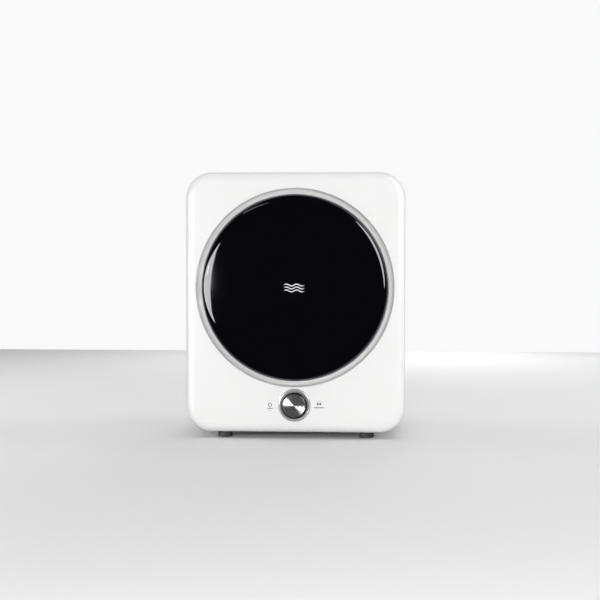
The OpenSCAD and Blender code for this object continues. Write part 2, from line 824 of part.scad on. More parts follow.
timer_front_y = face_y + 9;
timer_half = 24;      // half the timer's width and height
timer_l = 34;
plate_half = [34, 12];
plate_t = 1.5;
timer_screw_x = timer_half + 4;
tab_x = 14;           // the timer's two terminals, left and right of its middle
tab_z = dial_z - 13;
tab_l = 6;
tab_half = [4, 1];

module timer_shaft() {
  color("silver") rod_y(timer_shaft_d / 2, face_y - dial_proud + 6, timer_front_y + 16, 0, dial_z);
}

// Clockwork timer with its mounting plate and two terminals
module timer_body() {
  y0 = timer_front_y;
  color("gray") difference() {
    union() {
      box([-timer_half, y0 + plate_t, dial_z - timer_half],
          [timer_half, y0 + timer_l, dial_z + timer_half]);
      box([-plate_half[0], y0, dial_z - plate_half[1]],
          [plate_half[0], y0 + plate_t, dial_z + plate_half[1]]);
      for (s = [-1, 1])
        box([s * tab_x - tab_half[0], y0 + timer_l, tab_z - tab_half[1]],
            [s * tab_x + tab_half[0], y0 + timer_l + tab_l, tab_z + tab_half[1]]);
    }
    rod_y(timer_shaft_d / 2 + run_gap, y0 - 1, y0 + 18, 0, dial_z);
    for (s = [-1, 1]) rod_y(screw_r, y0 - 1, y0 + 4, s * timer_screw_x, dial_z);
  }
}

// ---- Drum -------------------------------------------------------------------

module drum_shell() {
  color("lightgray") around_y(0, door_z) {
    translate([drum_r - drum_t, drum_front_y]) square([drum_t, drum_back_y - drum_front_y]);
    translate([lip_r, drum_front_y]) square([drum_r - lip_r, drum_t]);
    translate([lip_r, drum_front_y]) square([drum_t, lip_l]);
  }
}

perf_rows = [[filter_r + 22, 24], [filter_r + 40, 30], [filter_r + 58, 36], [filter_r + 76, 42]];

module drum_rear() {
  color("lightgray") difference() {
    tube_y(drum_r - drum_t, filter_r, drum_back_y - drum_t, drum_back_y, 0, door_z);
    for (row = perf_rows, i = [0 : row[1] - 1])
      translate([0, 0, door_z]) rotate([0, i * 360 / row[1], 0])
        rod_y(3, drum_back_y - 3, drum_back_y + 2, row[0], 0);
  }
}

// Hollow baffles that lift the laundry
module drum_baffles() {
  y0 = drum_front_y + 22;
  y1 = drum_back_y - 24;
  flare = 30;
  color("silver") for (i = [0 : baffle_n - 1])
    translate([0, 0, door_z]) rotate([0, i * 360 / baffle_n, 0]) intersection() {
      along_y(y0, y1) difference() {
        intersection() {
          circle(drum_r - drum_t);
          union() {
            translate([0, drum_r - baffle_h]) circle(11);
            polygon([[-flare, drum_r + 2], [-10.6, drum_r - baffle_h - 3], [10.6, drum_r - baffle_h - 3],
              [flare, drum_r + 2]]);
          }
        }
        union() {
          translate([0, drum_r - baffle_h + 1]) circle(8);
          polygon([[-flare + 4, drum_r + 4], [-8, drum_r - baffle_h + 2], [8, drum_r - baffle_h + 2],
            [flare - 4, drum_r + 4]]);
        }
      }
      // Sloping ends
      rotate([90, 0, 90]) linear_extrude(2 * flare + 10, center = true) polygon([
        [y0, drum_r], [y0 + 24, drum_r - baffle_h - 14], [y1 - 24, drum_r - baffle_h - 14],
        [y1, drum_r]]);
    }
}

// Cast three-armed hub that carries the drum on its shaft
module drum_spider() {
  y1 = drum_back_y - drum_t;
  color("darkgray") difference() {
    union() {
      rod_y(hub_r, y1 - spider_t - 6, y1 + drum_t, 0, door_z);
      for (i = [0 : 2]) translate([0, 0, door_z]) rotate([0, 120 * i, 0])
        box([-7, y1 - spider_t, hub_r - 4], [7, y1, filter_r + 10]);
      tube_y(filter_r + 10, filter_r + 1, y1 - spider_t, y1, 0, door_z);
    }
    rod_y(shaft_r, y1 - spider_t - 8, y1 + 4, 0, door_z);
  }
}

shaft_end_y = fan_belt_y + 6;

module drum_shaft() {
  y1 = drum_back_y - drum_t;
  color("silver") rod_y(shaft_r, y1 - spider_t - 6, shaft_end_y, 0, door_z);
}

filter_back_y = drum_back_y - drum_t - spider_t;

// Round grille that pulls off the drum's rear wall
module filter_cover() {
  r = filter_r + 10;
  front = filter_back_y - filter_rise;
  grille_r = r - 16;
  ring_pitch = 12;
  color("whitesmoke") difference() {
    around_y(0, door_z) polygon([
      [0, front], [grille_r, front], [r - 5, front + 7], [r, front + 14], [r, filter_back_y - slide_gap],
      [r - 2.5, filter_back_y - slide_gap], [r - 2.5, front + 15], [r - 6.5, front + 9.5],
      [grille_r - 1, front + 2.5], [0, front + 2.5]]);
    // Ring slots in five rows, broken by eight spokes
    for (row = [0 : 4]) difference() {
      mid_r = 17 + row * ring_pitch;
      tube_y(mid_r + slot_w, mid_r - slot_w, front - 1, front + 3, 0, door_z);
      for (i = [0 : 3]) translate([0, 0, door_z]) rotate([0, 45 * i, 0])
        box([-2.5, front - 2, -r], [2.5, front + 4, r]);
    }
  }
}

// Fine mesh disc behind the grille, held by its rim
module lint_mesh() {
  r = filter_r - 8;
  front = filter_back_y - filter_rise;
  color("lightblue") {
    rod_y(r, front + 2.5, front + 3, 0, door_z);
    tube_y(r, r - 5, front + 3, front + 6, 0, door_z);
  }
}

// ---- Rear frame and bearing ---------------------------------------------------

bulkhead_t = 1.2;

// Steel wall behind the drum, with the air opening and a rim folded back
module rear_bulkhead() {
  t = bulkhead_t;
  y = bulkhead_y;
  inset = steel_inset + 0.2;
  window = [[-190, base_z + 40], [-110, base_z + 90]];
  color("lightsteelblue") difference() {
    union() {
      along_y(y, y + t) case_outline(inset);
      along_y(y, y + 12) difference() {
        case_outline(inset);
        case_outline(inset + t);
      }
    }
    rod_y(filter_r, y - 1, y + t + 1, 0, door_z);
    rod_y(motor_pin_r + 14, y - 1, y + t + 1, motor_x, motor_z);
    // Window for the leads, and the cut-out over the rear rail
    box([window[0][0], y - 1, window[0][1]], [window[1][0], y + t + 1, window[1][1]]);
    box([-foot_pitch / 2 - 20, y - 1, base_z], [foot_pitch / 2 + 20, y + 14, base_z + steel_inset + 16]);
    for (p = bearing_screws_at) rod_y(screw_r, y - 1, y + t + 1, p[0], p[1]);
  }
}

bearing_y0 = bulkhead_y - 3;
bearing_y1 = bulkhead_y + 3.4;
ball_r = 2.3;
ball_path_r = shaft_r + 5.5;
ball_y = (bearing_y0 + bearing_y1) / 2;

// Three arms that hold the drum's bearing in the air opening
module bearing_spider() {
  y = bulkhead_y;
  cup_r = bearing_r + 5;
  color("darkgray") difference() {
    union() {
      rod_y(cup_r, bearing_y0, bearing_y1, 0, door_z);
      for (i = [0 : 2]) translate([0, 0, door_z]) rotate([0, 120 * i, 0]) {
        box([-8, bearing_y0, cup_r - 3], [8, y, filter_r + 14]);
        box([-3, bearing_y0, cup_r - 3], [3, y + 1, filter_r - 1]);
      }
    }
    rod_y(bearing_r, bearing_y0 - 1, bearing_y1 + 1, 0, door_z);
    for (p = bearing_screws_at) rod_y(screw_r, bearing_y0 - 1, y + 1, p[0], p[1]);
  }
}

module bearing_outer_race() {
  color("silver") difference() {
    tube_y(bearing_r, shaft_r + 7.4, bearing_y0, bearing_y1, 0, door_z);
    around_y(0, door_z) translate([ball_path_r, ball_y]) circle(ball_r + 0.3);
  }
}

// Inner race with the balls caged on it
module bearing_inner_race() {
  color("silver") {
    tube_y(shaft_r + 3.6, shaft_r, bearing_y0, bearing_y1, 0, door_z);
    for (i = [0 : 8]) translate([0, 0, door_z]) rotate([0, 40 * i, 0])
      translate([ball_path_r, ball_y, 0]) sphere(ball_r);
  }
}

module rear_felt_seal() {
  color("tan") tube_y(filter_r + 34, filter_r + 18, drum_back_y + slide_gap, bulkhead_y, 0, door_z);
}

// ---- Motor and belts ------------------------------------------------------------

module motor_body() {
  r = motor_d / 2;
  y0 = motor_front_y;
  y1 = motor_back_y;
  color("slategray") difference() {
    union() {
      rod_y(r - 8, y0, y1, motor_x, motor_z);
      rod_y(r, y0 + 22, y1 - 22, motor_x, motor_z);
      for (end = [[y0 + 4, y0 + 22], [y1 - 22, y1 - 4]])
        tube_y(r - 2, 10, end[0], end[1], motor_x, motor_z);
    }
    rod_y(motor_pin_r + run_gap, y0 - 1, y1 + 1, motor_x, motor_z);
    // Cooling slots in the end bells
    for (i = [0 : 11], y = [y0 + 7, y1 - 19])
      translate([motor_x, 0, motor_z]) rotate([0, 30 * i, 0])
        box([-2, y, r - 7], [2, y + 12, r]);
  }
}

module motor_bracket() {
  r = motor_d / 2;
  y0 = motor_front_y - 2;
  y1 = motor_back_y;
  floor_z = base_z + steel_inset;
  color("lightsteelblue") difference() {
    union() {
      for (y = [y0, y1]) {
        box([motor_x - 30, y, floor_z], [motor_x + 30, y + 2, motor_z]);
        rod_y(r - 12, y, y + 2, motor_x, motor_z);
      }
      box([motor_x - 30, y0 + 2, floor_z], [motor_x + 30, rail_ys[1] - rail_half, floor_z + 2]);
      // Ear that carries the tension arm
      box([arm_axis[0] - 9, y0, motor_z - 10], [motor_x - 20, y0 + 2, arm_axis[1] + 9]);
      rod_y(4, y0 - 14, y0, arm_axis[0], arm_axis[1]);
    }
    for (y = [y0, y1]) rod_y(motor_pin_r + 3, y - 1, y + 3, motor_x, motor_z);
  }
}

module motor_shaft() {
  color("silver") rod_y(motor_pin_r, drum_belt_y - belt_w / 2 - 5, fan_belt_y + 5, motor_x, motor_z);
}

// Grooved pulley on the motor's front end
module drum_pulley() {
  r = drum_pulley_d / 2;
  y0 = drum_belt_y - belt_w / 2;
  y1 = drum_belt_y + belt_w / 2;
  color("dimgray") tube_pulley(r, motor_pin_r, y0, y1, motor_x, motor_z);
}

// A flat pulley between two flanges
module tube_pulley(r, bore, y0, y1, x, z) {
  tube_y(r, bore, y0 - 2.5, y1 + 2.5, x, z);
  tube_y(r + 3.5, bore, y0 - 2.5, y0 - 1, x, z);
  tube_y(r + 3.5, bore, y1 + 1, y1 + 2.5, x, z);
}

module fan_drive_pulley() {
  color("dimgray") tube_pulley(fan_drive_d / 2, motor_pin_r, fan_belt_y - fan_belt_w / 2,
    fan_belt_y + fan_belt_w / 2, motor_x, motor_z);
}

module fan_pulley() {
  color("dimgray") tube_pulley(fan_pulley_d / 2, fan_hub_r, fan_belt_y - fan_belt_w / 2,
    fan_belt_y + fan_belt_w / 2, 0, door_z);
}

module drum_belt() {
  color("black") belt(drum_loop, drum_belt_y, belt_w);
}

module fan_belt() {
  color("black") belt(fan_loop, fan_belt_y, fan_belt_w);
}

// Lever that presses the tension pulley on the belt
module idler_arm() {
  y0 = drum_belt_y + belt_w / 2 + 4;
  color("silver") difference() {
    union() {
      along_y(y0, y0 + 2.5) polygon(belt_outline([[arm_axis[0], arm_axis[1], 9],
        [idler_axis[0], idler_axis[1], 7]], 0));
      rod_y(3, drum_belt_y - belt_w / 2 - 3, y0, idler_axis[0], idler_axis[1]);
    }
    rod_y(4 + run_gap, y0 - 1, y0 + 4, arm_axis[0], arm_axis[1]);
  }
}

module idler_pulley() {
  color("whitesmoke") tube_pulley(idler_d / 2, 3 + run_gap, drum_belt_y - belt_w / 2,
    drum_belt_y + belt_w / 2, idler_axis[0], idler_axis[1]);
}

// Torsion spring round the arm's pivot
coil_turns = 3;
coil_r = 6.2;
wire_r = 0.8;
coil_steps = 20;
wire_sides = 8;
function coil_ring(i) =
  let (a = 360 * i / coil_steps, y = i * 2.2 / coil_steps)
  [for (k = [0 : wire_sides - 1])
    let (b = 360 * k / wire_sides, rr = coil_r + wire_r * cos(b))
    [rr * cos(a), y + wire_r * sin(b), -rr * sin(a)]];
function tube_faces(rings, sides) = concat(
  [[for (k = [sides - 1 : -1 : 0]) k]],
  [for (i = [0 : rings - 2], k = [0 : sides - 1])
    [i * sides + k, i * sides + (k + 1) % sides,
     (i + 1) * sides + (k + 1) % sides, (i + 1) * sides + k]],
  [[for (k = [0 : sides - 1]) (rings - 1) * sides + k]]);

module idler_spring() {
  rings = coil_turns * coil_steps + 1;
  color("gray") translate([arm_axis[0], motor_front_y - 2 - 14 + 1.4, arm_axis[1]])
    polyhedron([for (i = [0 : rings - 1]) each coil_ring(i)],
      [for (f = tube_faces(rings, wire_sides)) [for (k = [len(f) - 1 : -1 : 0]) f[k]]]);
}

// ---- Fan and exhaust ---------------------------------------------------------------

// Spiral wall of the fan's housing, in (x, z) about the fan's axis
scroll_steps = 36;
scroll_end_r = fan_r + scroll_gap + scroll_grow;
function scroll_r(a, add) = fan_r + scroll_gap + scroll_grow * a / 360 + add;
function scroll_points(add) = [for (i = [0 : scroll_steps])
  let (a = 360 * i / scroll_steps, r = scroll_r(a, add))
  [-r * cos(a + scroll_start), r * sin(a + scroll_start)]];

// Round end of the outlet, tangent to the spiral's widest place, as [x, z, r]
outlet_from = [-(scroll_end_r - outlet_r) * cos(scroll_start),
               door_z + (scroll_end_r - outlet_r) * sin(scroll_start), outlet_r];
neck_bore_r = spigot_r - duct_wall - 1;

// The spiral and its outlet up to the exhaust, grown by a margin
module scroll_area(add) {
  translate([0, door_z]) polygon(scroll_points(add));
  polygon(belt_outline([outlet_from, [spigot_x, spigot_z, spigot_r - duct_wall]], add));
}

module fan_housing() {
  y0 = bulkhead_y + bulkhead_t;
  y1 = housing_back_y;
  color("lightgray") difference() {
    union() {
      along_y(y0, y1 + duct_wall) scroll_area(duct_wall);
      // Neck up to the rear cover round the exhaust's hole
      rod_y(neck_bore_r + duct_wall, y1, cover_in_y, spigot_x, spigot_z);
    }
    along_y(y0 - 1, y1) scroll_area(0);
    rod_y(neck_bore_r, y1 - 1, cover_in_y + 1, spigot_x, spigot_z);
    rod_y(fan_hub_r + 2, y1 - 1, y1 + duct_wall + 1, 0, door_z);
  }
}

// Blower wheel: back plate, blades, front ring and hub
module fan_wheel() {
  y0 = fan_front_y;
  y1 = fan_front_y + fan_w;
  blade_in_r = fan_r * 0.74;
  color("gainsboro") {
    tube_y(fan_r, fan_hub_r - 1, y1 - 2, y1, 0, door_z);
    tube_y(fan_r, fan_r - 6, y0, y0 + 2, 0, door_z);
    tube_y(fan_hub_r, shaft_r + run_gap, y0 + 6, fan_belt_y + 6, 0, door_z);
    for (i = [0 : blade_n - 1]) translate([0, 0, door_z]) rotate([0, i * 360 / blade_n, 0])
      translate([blade_in_r, 0, 0]) rotate([0, -28, 0])
        box([0, y0 + 1, -0.8], [fan_r * 0.255, y1 - 1, 0.8]);
  }
}

module exhaust_spigot() {
  flange_r = spigot_r + 15;
  color("lightgray") difference() {
    union() {
      tube_y(spigot_r, spigot_r - duct_wall, rear_y + bulge_h, end_y, spigot_x, spigot_z);
      difference() {
        along_y(rear_y, rear_y + bulge_h) spigot_pad(0);
        around_y(0, door_z) polygon([
          [0, rear_y - 1], [bulge_d / 2 + 1, rear_y - 1],
          [bulge_d / 2 - bulge_h - 1, rear_y + bulge_h + 1], [0, rear_y + bulge_h + 1]]);
        along_y(rear_y - 1, rear_y + bulge_h - 3) spigot_pad(duct_wall);
      }
    }
    rod_y(spigot_r - duct_wall, rear_y - 1, end_y + 1, spigot_x, spigot_z);
    for (p = spigot_screws_at) rod_y(screw_r, rear_y - 1, rear_y + bulge_h + 1, p[0], p[1]);
  }
  // Bosses that the screws pull down on the cover
  color("lightgray") for (p = spigot_screws_at) if (norm(p - drum_axis) > bulge_d / 2 + 6)
    tube_y(5, screw_r, rear_y, rear_y + bulge_h - 3, p[0], p[1]);
}

module spigot_pad(inset) {
  translate([spigot_x, spigot_z]) circle(spigot_r + 15 - inset);
}

// ---- Heater --------------------------------------------------------------------------

duct_y0 = floor_back_y + 3.5;
duct_y1 = drum_front_y - 2;
heater_x = -118;
heater_w = 96;
heater_z = base_z + 52;
heater_h = 26;

box_top_z = base_z + 98;
throat_half = 52;     // half the width of the duct's top, under the grille in the neck

module duct_outline(inset) {
  x0 = heater_x - heater_w / 2 - 3 + inset;
  x1 = heater_x + heater_w / 2 + 3 - inset;
  mouth_z = door_z - mouth_r;
  difference() {
    union() {
      translate([x0, base_z + 24]) square([x1 - x0, box_top_z - base_z - 24]);
      polygon([[x0, box_top_z - 0.1], [x1, box_top_z - 0.1], [throat_half - inset, mouth_z - 34],
        [throat_half - inset, mouth_z + 12], [-throat_half + inset, mouth_z + 12]]);
    }
    translate([0, door_z]) circle(mouth_r + neck_t + 0.2);
  }
}

// Duct that leads the hot air from the heater up to the grille in the neck
module heater_duct() {
  y0 = duct_y0 + duct_wall;
  y1 = duct_y1 - duct_wall;
  color("lightgray") difference() {
    along_y(duct_y0, duct_y1) duct_outline(0);
    along_y(y0, y1) duct_outline(duct_wall);
    // Open bottom, where the air comes in
    box([heater_x - heater_w / 2 - 1, y0, base_z + 20], [heater_x + heater_w / 2 + 1, y1, base_z + 40]);
    // Open top under the neck
    intersection() {
      rod_y(mouth_r + neck_t + 6, y0, y1, 0, door_z);
      box([duct_wall - throat_half, y0, door_z - mouth_r - 20],
          [throat_half - duct_wall, y1, door_z - mouth_r + 20]);
    }
  }
}

// Ceramic heater: frame, fins and two heating bars
module heater_element() {
  x0 = heater_x - heater_w / 2;
  x1 = heater_x + heater_w / 2;
  y0 = duct_y0 + duct_wall + 0.3;
  y1 = duct_y1 - duct_wall - 0.3;
  color("silver") {
    for (z = [heater_z, heater_z + heater_h - 3]) box([x0, y0, z], [x1, y0 + 2, z + 3]);
    for (z = [heater_z, heater_z + heater_h - 3]) box([x0, y1 - 2, z], [x1, y1, z + 3]);
    for (x = [x0, x1 - 2]) box([x, y0, heater_z], [x + 2, y1, heater_z + heater_h]);
    for (y = [y0 + 5, y1 - 8]) box([x0, y, heater_z + 3], [x1, y + 3, heater_z + heater_h - 3]);
    for (i = [1 : fin_n]) let (x = x0 + i * heater_w / (fin_n + 1))
      box([x - 0.3, y0 + 1, heater_z + 3], [x + 0.3, y1 - 1, heater_z + heater_h - 3]);
  }
}

cutout_z = heater_z + 40;
cutout_x = [heater_x - 24, heater_x + 24];
cutout_h = 7;
cutout_tab_l = 6;

// Two thermal cut-outs on the duct's rear wall
module thermal_cutouts() {
  y = duct_y1 + cutout_h;
  color("saddlebrown") for (x = cutout_x) {
    rod_y(8, duct_y1, y, x, cutout_z);
    for (s = [-1, 1])
      box([x + s * 4 - 1.5, y, cutout_z - 2], [x + s * 4 + 1.5, y + cutout_tab_l, cutout_z - 1]);
  }
}

// ---- Supply and wiring ---------------------------------------------------------------

gland_at = [-150, base_z + 40];
gland_r = cord_hole_d / 2 + 4;

// Cord gland in the rear cover
module cable_gland() {
  color("dimgray") difference() {
    union() {
      rod_y(gland_r, cover_in_y - 12, rear_y + 10, gland_at[0], gland_at[1]);
      rod_y(gland_r + 3, rear_y, rear_y + 4, gland_at[0], gland_at[1]);
      rod_y(gland_r + 3, cover_in_y - 5, cover_in_y, gland_at[0], gland_at[1]);
    }
    rod_y(cord_hole_d / 2, cover_in_y - 14, rear_y + 12, gland_at[0], gland_at[1]);
  }
}

block_x = -120;       // middle of the terminal block
block_y = bulkhead_y - 18;
block_half = [20, 12];
block_h = 20;
capacitor_at = [40, bulkhead_y - 30];
capacitor_r = 17;
capacitor_h = 60;

// Four-way screw terminal block on the case's floor
module terminal_block() {
  z0 = base_z + steel_inset;
  pitch = 10;
  color("ivory") difference() {
    box([block_x - block_half[0], block_y - block_half[1], z0],
        [block_x + block_half[0], block_y + block_half[1], z0 + block_h]);
    for (i = [0 : 3]) let (x = block_x + (i - 1.5) * pitch) {
      box([x - 2, block_y - block_half[1] - 1, z0 + 12], [x + 2, block_y + block_half[1] + 1, z0 + 16]);
      rod_z(2.5, z0 + 14, z0 + block_h + 1, x, block_y);
    }
  }
}

module motor_capacitor() {
  color("lightgray") translate([capacitor_at[0], capacitor_at[1], base_z + steel_inset]) {
    cylinder(r = capacitor_r, h = capacitor_h);
    for (s = [-1, 1]) translate([s * 6 - 2, -0.5, capacitor_h]) cube([4, 1, 7]);
  }
}

// Leads, each from one terminal to the next along a few chosen points
lead_r = 2.2;
lead_sides = 8;
tab_end_y = timer_front_y + timer_l + tab_l;
cutout_end_y = duct_y1 + cutout_h + cutout_tab_l;
lead_routes = [
  // Terminal block to timer
  [[block_x, block_y - block_half[1], base_z + 12], [block_x + 2, 40, base_z + 10], [-90, -20, base_z + 8],
   [-40, -80, base_z + 12], [-tab_x, tab_end_y + 20, tab_z - 13], [-tab_x, tab_end_y + 8, tab_z],
   [-tab_x, tab_end_y, tab_z]],
  // Timer to thermal cut-out
  [[tab_x, tab_end_y, tab_z], [tab_x, tab_end_y + 8, tab_z], [12, tab_end_y + 22, tab_z - 7],
   [-30, duct_y1 + 24, cutout_z - 20], [cutout_x[1] + 4, duct_y1 + 28, cutout_z - 2],
   [cutout_x[1] + 4, cutout_end_y, cutout_z - 1.5]],
  // Terminal block to motor
  [[block_x + block_half[0], block_y, base_z + 12], [-90, block_y, base_z + 12], [-60, 66, base_z + 10],
   [40, 30, base_z + 10], [90, 30, base_z + 14], [motor_x - motor_d / 2 - 4, 42, motor_z - 16],
   [motor_x - motor_d / 2 + 1, 44, motor_z - 14]],
  // Timer to door switch
  [[timer_half, timer_front_y + 20, dial_z + 14], [timer_half + 8, timer_front_y + 20, dial_z + 14],
   [60, timer_front_y + 22, dial_z + 24], [130, timer_front_y + 24, dial_z + 70],
   [196, timer_front_y + 22, door_z - 110],
   [latch_x + 12, floor_back_y + 16, door_z - catch_z - switch_half[1] - 36],
   [latch_x, floor_back_y + 8, door_z - catch_z - switch_half[1] - 10],
   [latch_x, floor_back_y + 8, door_z - catch_z - switch_half[1]]]
];

// Points of a smooth curve through a list, by Catmull-Rom spans
spline_steps = 6;
function at(p, i) = p[max(0, min(len(p) - 1, i))];
function spline_point(p, i, t) =
  let (a = at(p, i - 1), b = at(p, i), c = at(p, i + 1), d = at(p, i + 2))
  0.5 * (2 * b + (c - a) * t + (2 * a - 5 * b + 4 * c - d) * t * t
    + (3 * b - a - 3 * c + d) * t * t * t);
function smooth(p) = concat(
  [for (i = [0 : len(p) - 2], s = [0 : spline_steps - 1]) spline_point(p, i, s / spline_steps)],
  [p[len(p) - 1]]);
function unit(v) = v / norm(v);
function lead_ring(path, i, r) =
  let (d = unit(at(path, i + 1) - at(path, i - 1)),
       u = unit(cross(d, abs(d[2]) < 0.9 ? [0, 0, 1] : [1, 0, 0])), v = cross(d, u))
  [for (k = [0 : lead_sides - 1]) let (a = 360 * k / lead_sides)
    path[i] + r * (cos(a) * u + sin(a) * v)];

module lead(route) {
  path = smooth(route);
  polyhedron([for (i = [0 : len(path) - 1]) each lead_ring(path, i, lead_r)],
    [for (f = tube_faces(len(path), lead_sides)) [for (k = [len(f) - 1 : -1 : 0]) f[k]]]);
}

module wiring_harness() {
  color("firebrick") for (route = lead_routes) lead(route);
}

// ---- Nodes -----------------------------------------------------------------------------

front_panel();
cabinet_wrap();
rear_cover();
rubber_feet();
base_rails();
case_screws();
foot_bolts();
door_cover();
door_frame();
door_bowl();
door_gasket();
door_magnet();
door_hinge_leaves();
hinge_pins();
door_screws();
hinge_brackets();
catch_plate();
mouth_ring();
front_felt_seal();
door_switch();
switch_plunger();
dial_bezel();
dial_body();
dial_cap();
timer_shaft();
timer_body();
drum_shell();
drum_rear();
drum_baffles();
drum_spider();
drum_shaft();
filter_cover();
lint_mesh();
rear_bulkhead();
bearing_spider();
bearing_outer_race();
bearing_inner_race();
rear_felt_seal();
motor_body();
motor_bracket();
motor_shaft();
drum_pulley();
fan_drive_pulley();
idler_arm();
idler_spring();
idler_pulley();
drum_belt();
fan_belt();
fan_housing();
fan_wheel();
fan_pulley();
exhaust_spigot();
heater_duct();
heater_element();
thermal_cutouts();
cable_gland();
terminal_block();
motor_capacitor();
wiring_harness();
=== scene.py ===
import json
import math

import bmesh
import bpy
import numpy as np
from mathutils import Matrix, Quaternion, Vector


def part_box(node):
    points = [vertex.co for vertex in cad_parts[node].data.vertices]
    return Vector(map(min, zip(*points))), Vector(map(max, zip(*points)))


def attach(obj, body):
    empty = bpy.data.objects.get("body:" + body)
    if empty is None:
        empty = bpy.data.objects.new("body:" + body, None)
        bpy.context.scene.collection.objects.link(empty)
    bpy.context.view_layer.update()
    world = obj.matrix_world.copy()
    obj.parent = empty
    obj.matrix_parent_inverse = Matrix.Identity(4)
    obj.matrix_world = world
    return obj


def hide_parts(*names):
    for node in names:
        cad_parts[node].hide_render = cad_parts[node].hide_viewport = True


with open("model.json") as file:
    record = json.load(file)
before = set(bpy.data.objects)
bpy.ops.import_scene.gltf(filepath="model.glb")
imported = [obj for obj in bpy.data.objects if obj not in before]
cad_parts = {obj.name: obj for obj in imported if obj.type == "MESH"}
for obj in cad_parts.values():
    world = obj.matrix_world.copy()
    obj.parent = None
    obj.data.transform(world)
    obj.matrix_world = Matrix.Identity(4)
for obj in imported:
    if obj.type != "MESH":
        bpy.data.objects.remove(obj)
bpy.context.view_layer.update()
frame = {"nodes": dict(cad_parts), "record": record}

mm = 0.001


# Places read from the frame

def boxOf(node):
    low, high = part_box(node)
    return np.array(low), np.array(high)


doorLow, doorHigh = boxOf("door_cover")
bezelLow, bezelHigh = boxOf("dial_bezel")
doorZ = (doorLow[2] + doorHigh[2]) / 2
doorR = (doorHigh[0] - doorLow[0]) / 2
dialZ = (bezelLow[2] + bezelHigh[2]) / 2
faceY = boxOf("front_panel")[0][1]
rimBackY = doorHigh[1]


# Camera

view = {
    "azimuth": 3.304, "elevation": 1.631, "roll": 0.1,      # degrees
    "distance": 3.185, "target": (0.0014, 0.0, 0.307),
    "lens": 80.6, "sensor": 36.0,
}


def makeCamera(look):
    a, e = math.radians(look["azimuth"]), math.radians(look["elevation"])
    back = Vector((math.sin(a) * math.cos(e), -math.cos(a) * math.cos(e), math.sin(e)))
    data = bpy.data.cameras.new("camera")
    data.lens, data.sensor_width = look["lens"], look["sensor"]
    data.clip_start, data.clip_end = 0.1, 50
    camera = bpy.data.objects.new("camera", data)
    bpy.context.scene.collection.objects.link(camera)
    camera.location = Vector(look["target"]) + back * look["distance"]
    camera.rotation_mode = "QUATERNION"
    upright = (-back).to_track_quat("-Z", "Y")
    camera.rotation_quaternion = upright @ Quaternion((0, 0, 1), math.radians(look["roll"]))
    bpy.context.scene.camera = camera


makeCamera(view)
print("camera placed")


# Shader helpers

class Value:
    # a number socket; an expression on values adds its Math nodes
    def __init__(self, finish, socket):
        self.finish, self.socket = finish, socket

    def math(self, operation, *others):
        return self.finish.node("ShaderNodeMath", {"operation": operation}, (self, *others))

    def __add__(self, other):
        return self.math("ADD", other)

    def __sub__(self, other):
        return self.math("SUBTRACT", other)

    def __mul__(self, other):
        return self.math("MULTIPLY", other)

    def __rsub__(self, other):
        return self.finish.node("ShaderNodeMath", {"operation": "SUBTRACT"}, (other, self))

    __radd__, __rmul__ = __add__, __mul__


class Finish:
    # one material; node() adds any node and hands back one of its outputs
    def __init__(self, name, **fixed):
        self.material = bpy.data.materials.new(name)
        self.material.use_nodes = True
        self.tree = self.material.node_tree
        self.tree.nodes.clear()
        self.shader = self.tree.nodes.new("ShaderNodeBsdfPrincipled")
        output = self.tree.nodes.new("ShaderNodeOutputMaterial")
        self.tree.links.new(self.shader.outputs[0], output.inputs["Surface"])
        self.set(**fixed)

    def feed(self, socket, value):
        if isinstance(value, Value):
            self.tree.links.new(value.socket, socket)
        elif socket.type == "RGBA" and len(value) == 3:
            socket.default_value = (*value, 1)
        else:
            socket.default_value = value

    def set(self, **sockets):
        for name, value in sockets.items():
            self.feed(self.shader.inputs[name.replace("_", " ")], value)

    def node(self, kind, settings=None, sockets=(), output=0):
        made = self.tree.nodes.new(kind)
        for name, value in (settings or {}).items():
            setattr(made, name, value)
        pairs = sockets.items() if isinstance(sockets, dict) else enumerate(sockets)
        for name, value in pairs:
            self.feed(made.inputs[name], value)
        return Value(self, made.outputs[output])

    # Object coordinates about a centre, stretched by a scale per axis
    def coords(self, centre=(0, 0, 0), scale=(1, 1, 1)):
        place = self.node("ShaderNodeTexCoord", output=3)
        centred = self.node("ShaderNodeVectorMath", {"operation": "SUBTRACT"}, (place, centre))
        return self.node("ShaderNodeMapping", None, {"Vector": centred, "Scale": scale})

    def noise(self, place, scale, detail=3.0, roughness=0.55, distortion=0.0):
        return self.node("ShaderNodeTexNoise", None, {
            "Vector": place, "Scale": scale, "Detail": detail, "Roughness": roughness,
            "Distortion": distortion})

    # 0 below low, 1 above high, smooth between
    def band(self, value, low, high):
        return self.node("ShaderNodeMapRange", {"interpolation_type": "SMOOTHSTEP"},
                         {"Value": value, "From Min": low, "From Max": high})

    def tint(self, mask, first, second):
        return self.node("ShaderNodeMix", {"data_type": "RGBA"}, {0: mask, 6: first, 7: second}, 2)

    def bump(self, height, depth, strength=1.0):
        return self.node("ShaderNodeBump", None,
                         {"Strength": strength, "Distance": depth, "Height": height})


def shade(colour, factor):
    return tuple(min(1.0, c * factor) for c in colour)


# Finishes

# Moulded plastic: slow mottling, a fine spark-eroded grain and a few rubbed places
def moulded(name, look):
    finish = Finish(name, **look.get("fixed", {}))
    place = finish.coords()
    mottle = finish.noise(place, look["mottle"], 2.0)
    grain = finish.noise(place, look["grain"], 2.0, 0.6)
    rub = finish.band(finish.noise(finish.coords(scale=(1, 1, 0.25)), 14, 4.0, 0.7), 0.58, 0.74)
    base = finish.tint(mottle, shade(look["colour"], 1 - look["vary"]), look["colour"])
    finish.set(
        Base_Color=finish.tint(rub * look["rubTint"], base, shade(look["colour"], look["rubTo"])),
        Roughness=look["rough"] + (mottle - 0.5) * look["roughVary"] - rub * look["rubShine"],
        Normal=finish.bump(grain, look["depth"], look["strength"]))
    return finish.material


